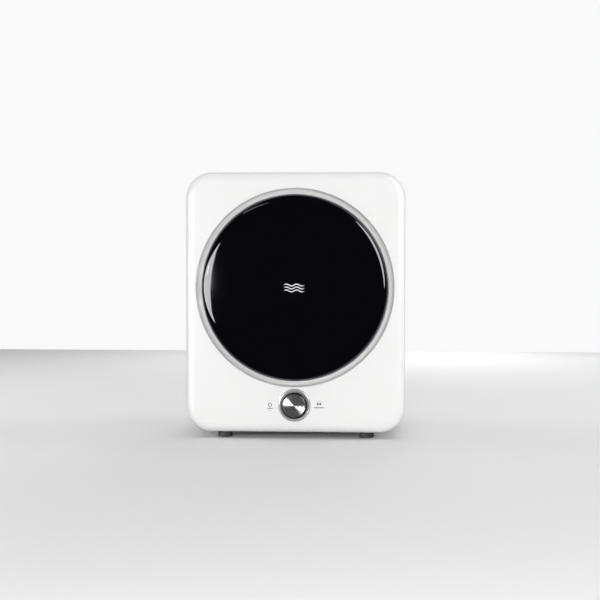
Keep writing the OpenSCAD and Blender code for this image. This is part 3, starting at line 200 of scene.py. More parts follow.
# Baked paint on sheet steel: orange peel over a slow wave, and faint specks of dust
def enamel(name, look):
    finish = Finish(name, **look.get("fixed", {}))
    place = finish.coords()
    peel = finish.noise(place, look["peel"], 2.0, 0.5)
    wave = finish.noise(place, 9.0, 1.0)
    speck = finish.band(finish.noise(place, 900, 1.0, 0.4), 0.74, 0.8)
    base = finish.tint(wave, shade(look["colour"], 1 - look["vary"]), look["colour"])
    finish.set(
        Base_Color=finish.tint(speck * 0.35, base, shade(look["colour"], 0.8)),
        Roughness=look["rough"] + (peel - 0.5) * 0.1 + speck * 0.15,
        Normal=finish.bump(peel + wave * 2, look["depth"], look["strength"]))
    return finish.material


# Metal drawn or ground in one direction: long hairlines change the shine and the height
def brushed(name, look):
    finish = Finish(name, Metallic=look["metal"])
    hair = finish.noise(finish.coords(scale=look["stretch"]), look["hair"], 4.0, 0.7)
    cloud = finish.noise(finish.coords(), look["cloud"], 3.0)
    finish.set(
        Base_Color=finish.tint(hair * 0.5 + cloud * 0.5, shade(look["colour"], 0.82), look["colour"]),
        Roughness=look["rough"] + (hair - 0.5) * look["roughVary"] + (cloud - 0.5) * 0.12,
        Normal=finish.bump(hair, look["depth"], look["strength"]))
    return finish.material


# Galvanised sheet: flat crystals, each with its own grey and shine
def galvanised(name, look):
    finish = Finish(name, Metallic=1.0)
    place = finish.coords()
    warped = finish.node("ShaderNodeVectorMath", {"operation": "ADD"},
                         (place, finish.node("ShaderNodeTexNoise", None,
                                             {"Vector": place, "Scale": 160.0}, 1)))
    crystal = finish.node("ShaderNodeTexVoronoi", None, {"Vector": warped, "Scale": look["crystal"]}, 1)
    tone = finish.node("ShaderNodeSeparateColor", None, (crystal,))
    streak = finish.noise(finish.coords(scale=(1, 1, 7)), 90, 3.0)
    finish.set(
        Base_Color=finish.tint(tone * 0.7 + streak * 0.3, shade(look["colour"], 0.72), look["colour"]),
        Roughness=0.3 + tone * 0.22 + streak * 0.08,
        Normal=finish.bump(tone + streak, 0.02 * mm, 0.5))
    return finish.material


# Metal turned on a lathe: rings about its own line along Y
def turned(name, look):
    finish = Finish(name, Metallic=look["metal"])
    radius = finish.node("ShaderNodeVectorMath", {"operation": "LENGTH"},
                         (finish.coords(look["centre"], (1, 0, 1)),), 1)
    ring = (radius * (2 * math.pi / look["pitch"])).math("SINE")
    smear = finish.noise(finish.coords(), 60, 4.0, 0.7)
    finish.set(
        Base_Color=finish.tint(smear, shade(look["colour"], 0.8), look["colour"]),
        Roughness=look["rough"] + ring * look["ringShine"] + (smear - 0.5) * look["roughVary"],
        Normal=finish.bump(ring, look["depth"], 0.6))
    return finish.material


# Die-cast alloy: dull skin with small pits
def cast(name, look):
    finish = Finish(name, Metallic=1.0)
    place = finish.coords()
    skin = finish.noise(place, 420, 5.0, 0.7)
    pit = finish.band(finish.noise(place, 1100, 2.0), 0.66, 0.76)
    finish.set(
        Base_Color=finish.tint(skin * 0.7 + pit * 0.3, look["colour"], shade(look["colour"], 0.6)),
        Roughness=look["rough"] + skin * 0.2 + pit * 0.1,
        Normal=finish.bump(skin - pit, 0.12 * mm, 0.7))
    return finish.material


# Rubber: close grain, mould lines and a bloom of dust on what faces up
def rubber(name, look):
    finish = Finish(name, Specular_IOR_Level=look["specular"])
    place = finish.coords()
    grain = finish.noise(place, look["grain"], 3.0, 0.6)
    bloom = finish.band(finish.noise(place, 45, 4.0, 0.65), 0.5, 0.8)
    up = finish.node("ShaderNodeSeparateXYZ", None, (finish.node("ShaderNodeNewGeometry", None, (), 1),), 2)
    dust = bloom * (0.35 + finish.band(up, 0.2, 1.0) * 0.65)
    finish.set(
        Base_Color=finish.tint(dust * look["dust"], look["colour"], look["bloom"]),
        Roughness=look["rough"] + (grain - 0.5) * 0.2 + dust * 0.12,
        Normal=finish.bump(grain, look["depth"], 0.6))
    return finish.material


# Pressed wool: short crossing fibres, uneven dye and a soft sheen
def felted(name, look):
    finish = Finish(name, Roughness=0.95, Sheen_Weight=0.5, Sheen_Roughness=0.5)
    fibre = finish.noise(finish.coords(scale=(1, 6, 1)), 900, 5.0, 0.75, 1.5)
    cross = finish.noise(finish.coords(scale=(5, 1, 2)), 700, 4.0, 0.75, 2.0)
    clump = finish.noise(finish.coords(), 130, 3.0)
    pile = fibre * 0.5 + cross * 0.5
    finish.set(
        Base_Color=finish.tint(pile * 0.6 + clump * 0.4, shade(look["colour"], 0.55), look["colour"]),
        Normal=finish.bump(pile + clump, 0.5 * mm, 0.8))
    return finish.material


# Woven nylon: threads across and up with square holes between them
def woven(name, look):
    finish = Finish(name, Specular_IOR_Level=0.4)
    place = finish.coords(look["centre"])
    x, z = (finish.node("ShaderNodeSeparateXYZ", None, (place,), i) for i in (0, 2))
    turns = 2 * math.pi / look["pitch"]
    across = (x * turns).math("COSINE") * 0.5 + 0.5
    up = (z * turns).math("COSINE") * 0.5 + 0.5
    thread = across.math("MAXIMUM", up)
    lint = finish.band(finish.noise(place, 70, 5.0, 0.7), 0.5, 0.75)
    finish.set(
        Base_Color=finish.tint(lint * 0.7, look["colour"], look["lint"]),
        Alpha=finish.band(thread + lint * 0.5, 0.55, 0.7),
        Roughness=0.55 + lint * 0.3,
        Normal=finish.bump(thread, 0.25 * mm, 0.8))
    return finish.material


# Glossy moulding seen edge to edge: a very slight ripple, haze and a few hair scratches
def polished(name, look):
    finish = Finish(name, **look["fixed"])
    place = finish.coords()
    ripple = finish.noise(place, 11, 1.0, 0.4)
    haze = finish.noise(place, 30, 4.0, 0.7)
    scratch = finish.band(finish.noise(finish.coords(scale=(1, 1, 14)), 55, 2.0, 0.5), 0.7, 0.72)
    finish.set(
        Base_Color=finish.tint(haze, look["colour"], shade(look["colour"], 1.5)),
        Roughness=look["rough"] + haze * look["haze"] + scratch * look["scratch"],
        Normal=finish.bump(ripple, look["ripple"], 0.35))
    return finish.material


# Heater fins: bare alloy going straw and blue where it runs hottest
def heated(name, look):
    finish = Finish(name, Metallic=0.85)
    place = finish.coords()
    heat = finish.noise(place, 38, 2.0)
    oxide = finish.band(heat, 0.42, 0.62)
    grain = finish.noise(place, 800, 3.0)
    warm = finish.tint(oxide, look["colour"], look["straw"])
    finish.set(
        Base_Color=finish.tint(finish.band(heat, 0.58, 0.74), warm, look["blue"]),
        Roughness=0.35 + grain * 0.25,
        Normal=finish.bump(grain, 0.03 * mm, 0.5))
    return finish.material


# Screen-printed ink: an even film with a faint raised grain
def printed(name, look):
    finish = Finish(name)
    grain = finish.noise(finish.coords(), 2600, 2.0)
    wear = finish.noise(finish.coords(), 240, 3.0)
    finish.set(
        Base_Color=finish.tint(wear, shade(look["colour"], 0.86), look["colour"]),
        Roughness=look["rough"] + grain * 0.15,
        Normal=finish.bump(grain, 0.01 * mm, 0.4))
    return finish.material


# What each finish looks like, by material slot

whiteMoulding = {
    "colour": (0.86, 0.86, 0.855), "vary": 0.015, "mottle": 7.0, "rough": 0.34, "roughVary": 0.08,
    "grain": 1500.0, "depth": 0.012 * mm, "strength": 0.5, "rubTint": 0.12, "rubTo": 0.97,
    "rubShine": 0.05, "fixed": {"Specular_IOR_Level": 0.35},
}
greyMoulding = {
    "colour": (0.62, 0.63, 0.64), "vary": 0.05, "mottle": 16.0, "rough": 0.52, "roughVary": 0.1,
    "grain": 1100.0, "depth": 0.04 * mm, "strength": 0.7, "rubTint": 0.2, "rubTo": 1.12, "rubShine": 0.12,
}
switchPlastic = {
    "colour": (0.045, 0.045, 0.05), "vary": 0.2, "mottle": 40.0, "rough": 0.5, "roughVary": 0.12,
    "grain": 1400.0, "depth": 0.04 * mm, "strength": 0.7, "rubTint": 0.4, "rubTo": 2.2, "rubShine": 0.14,
}
dialBlack = {
    "colour": (0.008, 0.008, 0.009), "vary": 0.2, "mottle": 60.0, "rough": 0.32, "roughVary": 0.08,
    "grain": 1800.0, "depth": 0.01 * mm, "strength": 0.5, "rubTint": 0.3, "rubTo": 2.0, "rubShine": 0.05,
    "fixed": {"Specular_IOR_Level": 0.3},
}
wireJacket = {
    "colour": (0.42, 0.05, 0.04), "vary": 0.15, "mottle": 50.0, "rough": 0.38, "roughVary": 0.1,
    "grain": 900.0, "depth": 0.03 * mm, "strength": 0.6, "rubTint": 0.3, "rubTo": 1.5, "rubShine": 0.1,
}
whiteEnamel = {
    "colour": (0.85, 0.85, 0.845), "vary": 0.02, "peel": 260.0, "rough": 0.42,
    "depth": 0.05 * mm, "strength": 0.35, "fixed": {"Specular_IOR_Level": 0.4},
}
motorPaint = {
    "colour": (0.12, 0.13, 0.15), "vary": 0.2, "peel": 520.0, "rough": 0.42,
    "depth": 0.1 * mm, "strength": 0.6,
}
magnetGrey = {
    "colour": (0.16, 0.16, 0.17), "vary": 0.2, "peel": 700.0, "rough": 0.5,
    "depth": 0.1 * mm, "strength": 0.6,
}
drumSteel = {
    "colour": (0.7, 0.71, 0.72), "metal": 0.65, "rough": 0.36, "roughVary": 0.08, "stretch": (1, 14, 1),
    "hair": 420.0, "cloud": 8.0, "depth": 0.004 * mm, "strength": 0.4,
}
brightSteel = {
    "colour": (0.7, 0.7, 0.71), "metal": 0.9, "rough": 0.24, "roughVary": 0.16, "stretch": (1, 1, 9),
    "hair": 900.0, "cloud": 120.0, "depth": 0.01 * mm, "strength": 0.6,
}
# Chrome only 0.4 metallic over a light grey base: the diffuse grey is a painted reflection of bright
# surroundings
chromeWithPaintedReflection = {
    "colour": (0.74, 0.74, 0.74), "metal": 0.4, "rough": 0.22, "roughVary": 0.06, "ringShine": 0.02,
    "pitch": 0.4 * mm, "centre": (0, 0, dialZ), "depth": 0.002 * mm,
}
spunMetal = {
    "colour": (0.44, 0.44, 0.45), "metal": 0.85, "rough": 0.14, "roughVary": 0.06, "ringShine": 0.03,
    "pitch": 0.18 * mm, "centre": (0, 0, dialZ), "depth": 0.002 * mm,
}
blackGloss = {
    "colour": (0.0012, 0.0011, 0.0022), "rough": 0.025, "haze": 0.03, "scratch": 0.05, "ripple": 0.02 * mm,
    "fixed": {"Coat_Weight": 0.2, "Coat_Roughness": 0.02, "IOR": 1.49},
}
smokedBowl = {
    "colour": (0.05, 0.052, 0.056), "rough": 0.1, "haze": 0.08, "scratch": 0.07, "ripple": 0.05 * mm,
    "fixed": {"IOR": 1.49, "Transmission_Weight": 0.25},
}

finishes = {
    "white_moulding": moulded("whiteMoulding", whiteMoulding),
    "grey_moulding": moulded("greyMoulding", greyMoulding),
    "switch_plastic": moulded("switchPlastic", switchPlastic),
    "dial_black": moulded("dialBlack", dialBlack),
    "wire_jacket": moulded("wireJacket", wireJacket),
    "white_enamel": enamel("whiteEnamel", whiteEnamel),
    "motor_paint": enamel("motorPaint", motorPaint),
    "magnet_grey": enamel("magnetGrey", magnetGrey),
    "drum_steel": brushed("drumSteel", drumSteel),
    "bright_steel": brushed("brightSteel", brightSteel),
    "zinc_steel": galvanised("zincSteel", {"colour": (0.6, 0.62, 0.65), "crystal": 70.0}),
    "chrome_trim": turned("chromeWithPaintedReflection", chromeWithPaintedReflection),
    "spun_metal": turned("spunMetal", spunMetal),
    "cast_alloy": cast("castAlloy", {"colour": (0.6, 0.61, 0.62), "rough": 0.36}),
    "foot_rubber": rubber("footRubber", {
        "colour": (0.045, 0.045, 0.048), "bloom": (0.2, 0.2, 0.2), "rough": 0.62, "grain": 800.0,
        "depth": 0.1 * mm, "dust": 0.25, "specular": 0.4}),
    "belt_rubber": rubber("beltRubber", {
        "colour": (0.022, 0.022, 0.022), "bloom": (0.12, 0.12, 0.12), "rough": 0.7, "grain": 1300.0,
        "depth": 0.1 * mm, "dust": 0.5, "specular": 0.3}),
    "gasket_rubber": rubber("gasketRubber", {
        "colour": (0.24, 0.24, 0.25), "bloom": (0.42, 0.42, 0.42), "rough": 0.58, "grain": 900.0,
        "depth": 0.05 * mm, "dust": 0.3, "specular": 0.4}),
    "felt": felted("felt", {"colour": (0.66, 0.58, 0.46)}),
    "filter_mesh": woven("filterMesh", {
        "colour": (0.2, 0.3, 0.42), "lint": (0.6, 0.6, 0.62), "pitch": 1.2 * mm, "centre": (0, 0, doorZ)}),
    "black_gloss": polished("blackGloss", blackGloss),
    "smoked_bowl": polished("smokedBowl", smokedBowl),
    "heater_ceramic": heated("heaterCeramic", {
        "colour": (0.68, 0.68, 0.67), "straw": (0.6, 0.47, 0.28), "blue": (0.28, 0.3, 0.42)}),
}
whiteInk = printed("whiteInk", {"colour": (0.9, 0.9, 0.9), "rough": 0.35})
darkInk = printed("darkInk", {"colour": (0.05, 0.05, 0.055), "rough": 0.45})
greyInk = printed("greyInk", {"colour": (0.42, 0.42, 0.43), "rough": 0.45})

for part in frame["record"]["subparts"]:
    node = frame["nodes"][part["node"]]
    node.data.materials.clear()
    node.data.materials.append(finishes[part["material_slot"]])
print("finishes made:", len(finishes))


# Mesh helpers

# Six times the volume under a closed surface, by the triangle fans of its faces
def windingSign(points, faces):
    total = 0.0
    for group in faces:
        a = points[group[:, 0]]
        for k in range(1, group.shape[1] - 1):
            b, c = points[group[:, k]], points[group[:, k + 1]]
            total += float(np.einsum("ij,ij->", a, np.cross(b, c)))
    return total


def meshPiece(name, parts, finish, body, sharp=35.0):
    # parts is a list of (points, list of face arrays); each is a closed surface turned outward
    allPoints, allFaces, start = [], [], 0
    for points, faces in parts:
        if windingSign(points - points.mean(0), faces) < 0:
            faces = [group[:, ::-1] for group in faces]
        allPoints.append(points)
        allFaces += [row for group in faces for row in (group + start).tolist()]
        start += len(points)
    mesh = bpy.data.meshes.new(name)
    mesh.from_pydata(np.concatenate(allPoints).tolist(), [], allFaces)
    mesh.polygons.foreach_set("use_smooth", np.ones(len(mesh.polygons), bool))
    mesh.set_sharp_from_angle(angle=math.radians(sharp))
    mesh.materials.append(finish)
    mesh.validate()
    piece = bpy.data.objects.new(name, mesh)
    bpy.context.scene.collection.objects.link(piece)
    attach(piece, body)
    return piece


# Quads of a grid of rows and columns; a closed direction joins its last line to its first
def gridFaces(rows, columns, closeRows, closeColumns):
    i = np.arange(rows if closeRows else rows - 1)[:, None]
    j = np.arange(columns if closeColumns else columns - 1)[None, :]
    nextI, nextJ = (i + 1) % rows, (j + 1) % columns
    return np.stack([i * columns + j, i * columns + nextJ, nextI * columns + nextJ, nextI * columns + j],
                    -1).reshape(-1, 4)


# A profile (r, h) turned about a line along Y or Z through centre; a profile that starts and
# ends on the line is closed by its two poles, and any other is a closed ring
def turnedSurface(profile, centre, axis=1, columns=128, ripple=None):
    profile = np.asarray(profile, float)
    poles = profile[0, 0] < 1e-9 and profile[-1, 0] < 1e-9
    rows = profile[1:-1] if poles else profile
    angle = np.linspace(0, 2 * np.pi, columns, endpoint=False)
    radius = np.repeat(rows[:, :1], columns, 1)
    if ripple is not None:
        radius = radius + ripple(rows[:, 1][:, None], angle[None, :])
    height = np.repeat(rows[:, 1:], columns, 1)
    points = axisPoints(radius, height, angle, centre, axis)
    faces = [gridFaces(len(rows), columns, not poles, True)]
    if poles:
        ends = axisPoints(np.zeros((2, 1)), profile[[0, -1], 1:], np.zeros(1), centre, axis)
        top = len(points)
        j = np.arange(columns)
        last = (len(rows) - 1) * columns
        faces.append(np.stack([(j + 1) % columns, j, np.full(columns, top)], -1))
        faces.append(np.stack([last + j, last + (j + 1) % columns, np.full(columns, top + 1)], -1))
        points = np.concatenate([points, ends])
    return points, faces


def axisPoints(radius, height, angle, centre, axis):
    x = centre[0] + radius * np.cos(angle)
    side = centre[1] + radius * np.sin(angle)
    height = height + 0 * x
    return np.stack([x, height, side] if axis == 1 else [x, side, height], -1).reshape(-1, 3)


# Corners (r, h, fillet radius) joined by straight runs, each corner an arc tangent to both runs
def roundPath(corners, closed=True, steps=6):
    corners = np.asarray(corners, float)
    count = len(corners)
    out = []
    for k in range(count):
        here, size = corners[k, :2], corners[k, 2]
        if size <= 0 or (not closed and k in (0, count - 1)):
            out.append(here)
            continue
        before = corners[k - 1, :2] - here
        after = corners[(k + 1) % count, :2] - here
        before, after = before / np.linalg.norm(before), after / np.linalg.norm(after)
        half = math.acos(float(np.clip(before @ after, -1, 1))) / 2
        along = size / math.tan(half)
        middle = here + (before + after) / np.linalg.norm(before + after) * size / math.sin(half)
        start, end = here + before * along - middle, here + after * along - middle
        turn = math.acos(float(np.clip(start @ end / size ** 2, -1, 1)))
        for t in np.linspace(0, 1, steps + 1):
            swung = start * math.sin((1 - t) * turn) + end * math.sin(t * turn)
            out.append(middle + swung / math.sin(turn))
    return np.array(out)


# A sheet's closed section: its path moved half the thickness along each normal
def sheetSection(path, thickness):
    path = np.asarray(path, float)
    along = np.gradient(path, axis=0)
    along /= np.linalg.norm(along, axis=1)[:, None]
    normal = np.stack([-along[:, 1], along[:, 0]], -1) * thickness / 2
    return np.concatenate([path + normal, (path - normal)[::-1]])


# A flat stroke of ink: a path (x, z) with a half width at each point, raised off y by a film
def inkStroke(path, half, y, film):
    path = np.asarray(path, float)
    along = np.gradient(path, axis=0)
    along /= np.linalg.norm(along, axis=1)[:, None]
    normal = np.stack([-along[:, 1], along[:, 0]], -1) * np.broadcast_to(half, len(path))[:, None]
    ring = []
    for side, lift in ((1, 0), (1, film), (-1, film), (-1, 0)):
        edge = path + side * normal
        ring.append(np.stack([edge[:, 0], y(edge[:, 0], edge[:, 1]) - lift, edge[:, 1]], -1))
    points = np.stack(ring, 1).reshape(-1, 3)
    last = (len(path) - 1) * 4
    caps = np.array([[3, 2, 1, 0], [last, last + 1, last + 2, last + 3]])
    return points, [gridFaces(len(path), 4, False, True), caps]


# Door

doorCover = {
    "rise": 3.8 * mm, "rim": 18 * mm, "skirt": 7 * mm, "wall": 3 * mm,
    "domeSteps": 40, "rimSteps": 18, "skirtSteps": 4, "columns": 288,
    "notchLevels": (-34 * mm, 34 * mm), "notchHalf": 16.5 * mm, "notchDepth": 12.5 * mm,
}


# The door's skin in (r, y), inset from its outside: a ball's cap and the first part of the rim's
# quarter round, which stops at the level of the hinge notches
def doorSkin(look, inset):
    rim, reach = look["rim"] - inset, doorR - look["rim"]
    middleY = rimBackY - look["skirt"]
    ball = (reach ** 2 + look["rise"] ** 2) / (2 * look["rise"]) - inset
    lean = math.asin(reach / (ball - rim))
    ballY = middleY + (ball - rim) * math.cos(lean)
    r = np.linspace(0, ball * math.sin(lean), look["domeSteps"])
    dome = np.stack([r, ballY - np.sqrt(ball ** 2 - r ** 2)], -1)
    turn = np.linspace(lean, notchAngle(look, rim), look["rimSteps"] + 1)[1:]
    return dome, np.stack([reach + rim * np.sin(turn), middleY - rim * np.cos(turn)], -1)


# Where a notch's level meets a rim of this radius
def notchAngle(look, rim):
    return math.acos(min(1.0, (look["notchDepth"] - look["skirt"]) / rim))


# The closed section: out over the skin, round its back edge, and home along the inside; where
# the door is notched the same number of points go straight across
def doorSection(look, notched):
    outerDome, outerArc = doorSkin(look, 0)
    innerDome, innerArc = doorSkin(look, look["wall"])
    middleY = rimBackY - look["skirt"]
    if notched:
        count = 2 * (look["rimSteps"] // 2 + look["skirtSteps"]) + 2
        t = np.linspace(0, 1, count + 2)[1:-1, None]
        back = outerArc[-1] * (1 - t) + innerArc[-1] * t
    else:
        sides = []
        for rim in (look["rim"], look["rim"] - look["wall"]):
            turn = np.linspace(notchAngle(look, rim), math.pi / 2, look["rimSteps"] // 2 + 1)[1:]
            arc = np.stack([doorR - look["rim"] + rim * np.sin(turn), middleY - rim * np.cos(turn)], -1)
            y = np.linspace(middleY, rimBackY, look["skirtSteps"] + 2)[1:]
            sides.append(np.concatenate([arc, np.stack([np.full(len(y), arc[-1, 0]), y], -1)]))
        back = np.concatenate([sides[0], sides[1][::-1]])
    return np.concatenate([outerDome, outerArc, back, innerArc[::-1], innerDome[::-1]])


def makeDoorCover(look):
    full, cut = doorSection(look, False), doorSection(look, True)
    edges = []
    for level in look["notchLevels"]:
        for side in (-1, 1):
            edges.append(math.pi - math.asin((level + side * look["notchHalf"]) / doorR))
    angle = np.linspace(0, 2 * np.pi, look["columns"], endpoint=False)
    near = np.min(np.abs(angle[:, None] - np.array(edges)[None, :]), 1)
    angle = np.sort(np.concatenate([angle[near > 0.004], np.repeat(edges, 2)]))
    middle = (angle + np.roll(angle, -1)) / 2
    inside = np.zeros(len(angle), bool)
    for level in look["notchLevels"]:
        z = doorR * np.sin(middle)
        inside |= (np.abs(z - level) < look["notchHalf"] - 1e-6) & (np.cos(middle) < 0)
    # two columns share each edge of a notch: the first goes with the span before it
    inNotch = np.where(np.isclose(angle, np.roll(angle, -1)), np.roll(inside, 1), inside)
    section = np.where(inNotch[None, :, None], cut[:, None, :], full[:, None, :])
    points = axisPoints(section[..., 0], section[..., 1], angle, (0, doorZ), 1)
    faces = gridFaces(len(full), len(angle), False, True)
    piece = meshPiece("doorCover", [(points, [faces])], finishes["black_gloss"], "door")
    tidy = bmesh.new()
    tidy.from_mesh(piece.data)
    bmesh.ops.remove_doubles(tidy, verts=tidy.verts, dist=1e-6)
    bmesh.ops.dissolve_degenerate(tidy, edges=tidy.edges, dist=1e-6)
    bmesh.ops.recalc_face_normals(tidy, faces=tidy.faces)
    tidy.to_mesh(piece.data)
    tidy.free()
    piece.data.set_sharp_from_angle(angle=math.radians(35))
    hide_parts("door_cover")
    return full


doorProfile = makeDoorCover(doorCover)


# The y of the door's face at (x, z), read off its profile
def domeY(x, z):
    dome = doorProfile[:doorCover["domeSteps"]]
    return np.interp(np.hypot(x, z - doorZ), dome[:, 0], dome[:, 1])


doorMark = {"width": 46 * mm, "pitch": 6.5 * mm, "swing": 2.2 * mm, "half": 0.95 * mm, "film": 0.1 * mm}


def makeDoorMark(look):
    # three waves, each z = swing * sin(two turns across), with pointed ends
    strokes = []
    for k in (1, 0, -1):
        t = np.linspace(0, 1, 64)
        x = (t - 0.5) * look["width"]
        z = doorZ + k * look["pitch"] + look["swing"] * np.sin(t * 4 * np.pi)
        half = look["half"] * np.clip(np.sin(t * np.pi) * 3, 0.12, 1)
        strokes.append(inkStroke(np.stack([x, z], -1), half, domeY, look["film"]))
    meshPiece("doorMark", strokes, whiteInk, "door")


makeDoorMark(doorMark)

bowlLow, bowlHigh = boxOf("door_bowl")
doorBowl = {
    "lip": 6.1 * mm, "bend": 1.5 * mm, "wall": 2.4 * mm, "draft": 7 * mm, "shoulder": 8 * mm,
    "foot": 15 * mm, "crown": 0.4 * mm,
}


def makeDoorBowl(look):
    # a flanged dish: lip, drafted wall, a wide round and a slightly crowned bottom
    lipR, half = (bowlHigh[0] - bowlLow[0]) / 2, look["wall"] / 2
    lipY, backY = bowlLow[1] + half, bowlHigh[1] - half
    wallR = lipR - half - look["lip"]
    path = roundPath([
        (lipR - 0.2 * mm, lipY, 0), (wallR, lipY, look["bend"]), (wallR, rimBackY, look["shoulder"]),
        (wallR - look["draft"], backY, look["foot"]), (0, backY - look["crown"], 0)],
        closed=False, steps=12)
    path = path[np.concatenate([[True], np.linalg.norm(np.diff(path, axis=0), axis=1) > 1e-6])]
    section = np.roll(sheetSection(path, look["wall"]), len(path), axis=0)
    section[[0, -1], 0] = 0
    section[:, 0] = np.clip(section[:, 0], 0, lipR)
    piece = meshPiece("doorBowl", [turnedSurface(section, (0, doorZ), columns=160)],
                      finishes["smoked_bowl"], "door")
    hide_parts("door_bowl")


makeDoorBowl(doorBowl)

gasketLow, gasketHigh = boxOf("door_gasket")
doorGasket = {"base": 8 * mm, "nose": 5 * mm, "foot": 5 * mm}


def makeGasket(look):
    # a foot in its groove, a waist and a round nose that meets the seat
    outR = (gasketHigh[0] - gasketLow[0]) / 2
    midR = outR - look["base"] / 2
    y0, y1 = gasketLow[1], gasketHigh[1]
    nose, foot = look["nose"] / 2, y0 + look["foot"]
    section = roundPath([
        (midR - 4 * mm, y0, 0.3 * mm), (midR + 4 * mm, y0, 0.3 * mm), (midR + 4 * mm, foot, 1.2 * mm),
        (midR + nose - 0.6 * mm, foot, 0.6 * mm), (midR + nose, foot + 2.4 * mm, 0.8 * mm),
        (midR + nose, y1, 2.2 * mm), (midR - nose, y1, 2.2 * mm), (midR - nose, foot + 2.4 * mm, 0.8 * mm),
        (midR - nose + 0.6 * mm, foot, 0.6 * mm), (midR - 4 * mm, foot, 1.2 * mm)])
    piece = meshPiece("doorGasket", [turnedSurface(section, (0, doorZ), columns=160)],
                      finishes["gasket_rubber"], "door")
    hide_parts("door_gasket")


makeGasket(doorGasket)
print("door made")


# Dial

capLow, capHigh = boxOf("dial_cap")
knobLow, knobHigh = boxOf("dial_body")
dial = {
    "pitch": 0.9 * mm, "groove": 0.1 * mm, "skew": 2.2, "samples": 12, "dish": 0.5 * mm, "bead": 1.6 * mm,
    "flutes": 60, "fluteDepth": 0.35 * mm, "wall": 2.5 * mm, "hub": 7 * mm,
}


def makeDialCap(look):
    # a dished disc with fine lathe rings and a polished bead round its edge
    r, y0, y1 = (capHigh[0] - capLow[0]) / 2, capLow[1], capHigh[1]
    flatR = r - look["bead"]
    count = int(flatR / look["pitch"]) * look["samples"]
    radius = np.linspace(0, flatR, count + 1)
    phase = (radius / look["pitch"]) % 1
    ring = look["groove"] * (1 - np.cos(2 * np.pi * phase ** look["skew"])) / 2
    y = y0 + 0.06 * mm + look["dish"] * (1 - (radius / flatR) ** 1.5) + ring
    bead = roundPath([(flatR, y[-1], 0), (flatR + 0.3 * mm, y0, 0.25 * mm), (r, y0, 0.7 * mm),
                      (r, y1, 0.2 * mm), (0, y1, 0)], closed=False)[1:]
    section = np.concatenate([np.stack([radius, y], -1), bead])
    piece = meshPiece("dialCap", [turnedSurface(section, (0, dialZ), columns=192)],
                      finishes["spun_metal"], "dial", 75)
    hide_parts("dial_cap")


def makeDialBody(look):
    # a black knob: a flat shoulder, a chamfer and shallow flutes round its side
    r, y0, y1 = (knobHigh[0] - knobLow[0]) / 2, knobLow[1], knobHigh[1]
    section = roundPath([
        (0, y0 + 0.3 * mm, 0), (r - 3.2 * mm, y0 + 0.1 * mm, 0.4 * mm),
        (r - 1.0 * mm, y0 + 2.4 * mm, 1.2 * mm),
        (r, y0 + 6 * mm, 2 * mm), (r, y1, 0.4 * mm), (r - look["wall"], y1, 0.4 * mm),
        (r - look["wall"], y0 + 4 * mm, 1 * mm), (look["hub"], y0 + 4 * mm, 1 * mm),
        (look["hub"], y1, 0.3 * mm), (0, y1, 0)], closed=False)
    dense = [section[:1]]
    for a, b in zip(section[:-1], section[1:]):
        steps = max(1, int(np.linalg.norm(b - a) / (1.5 * mm)))
        dense.append(a + (b - a) * (np.arange(1, steps + 1) / steps)[:, None])
    section = np.concatenate(dense)
    outer = r - 1.4 * mm

    def flute(height, angle):
        side = np.clip((section[1:-1, :1] - outer) / (1.2 * mm), 0, 1)
        along = np.clip((height - y0 - 3 * mm) / (2.5 * mm), 0, 1)
        return -look["fluteDepth"] * side * along * (0.5 + 0.5 * np.cos(look["flutes"] * angle))

    piece = meshPiece("dialBody", [turnedSurface(section, (0, dialZ), columns=360, ripple=flute)],
                      finishes["dial_black"], "dial", 50)
    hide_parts("dial_body")


bezel = {"rise": 6 * mm, "outer": 2.4 * mm, "crest": 3.2 * mm}


def makeBezel(look):
    # a chromed ring whose light grey diffuse share is a painted reflection: a rounded crest falling to a thin
    # step at the knob
    r = (bezelHigh[0] - bezelLow[0]) / 2
    inner = (knobHigh[0] - knobLow[0]) / 2 + 0.8 * mm
    y = bezelHigh[1]
    section = roundPath([
        (inner, y, 0.2 * mm), (r, y, 0.2 * mm), (r, y - look["outer"], 1.4 * mm),
        (r - look["crest"], y - look["rise"], 1.6 * mm), (inner + 0.9 * mm, y - 4.0 * mm, 0.5 * mm),
        (inner, y - 3.2 * mm, 0.3 * mm)], steps=8)
    piece = meshPiece("dialBezel", [turnedSurface(section, (0, dialZ), columns=192)],
                      finishes["chrome_trim"], "case")
    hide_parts("dial_bezel")


makeDialCap(dial)
makeDialBody(dial)
makeBezel(bezel)

legends = {
    "film": 0.06 * mm, "side": 55 * mm, "iconRise": (0.5 * mm, 3.0 * mm),
    "ringR": 3.7 * mm, "ringHalf": 0.65 * mm, "tieWidth": 9.2 * mm, "tieHalf": (0.8 * mm, 3.2 * mm),
    "barDrop": (7.5 * mm, 5.3 * mm), "barHalf": 0.8 * mm, "barWidth": (12 * mm, 22 * mm),
    "noteHalf": 0.28 * mm, "noteRise": 9 * mm, "noteDrop": 12.5 * mm, "noteWidth": 9 * mm,
}


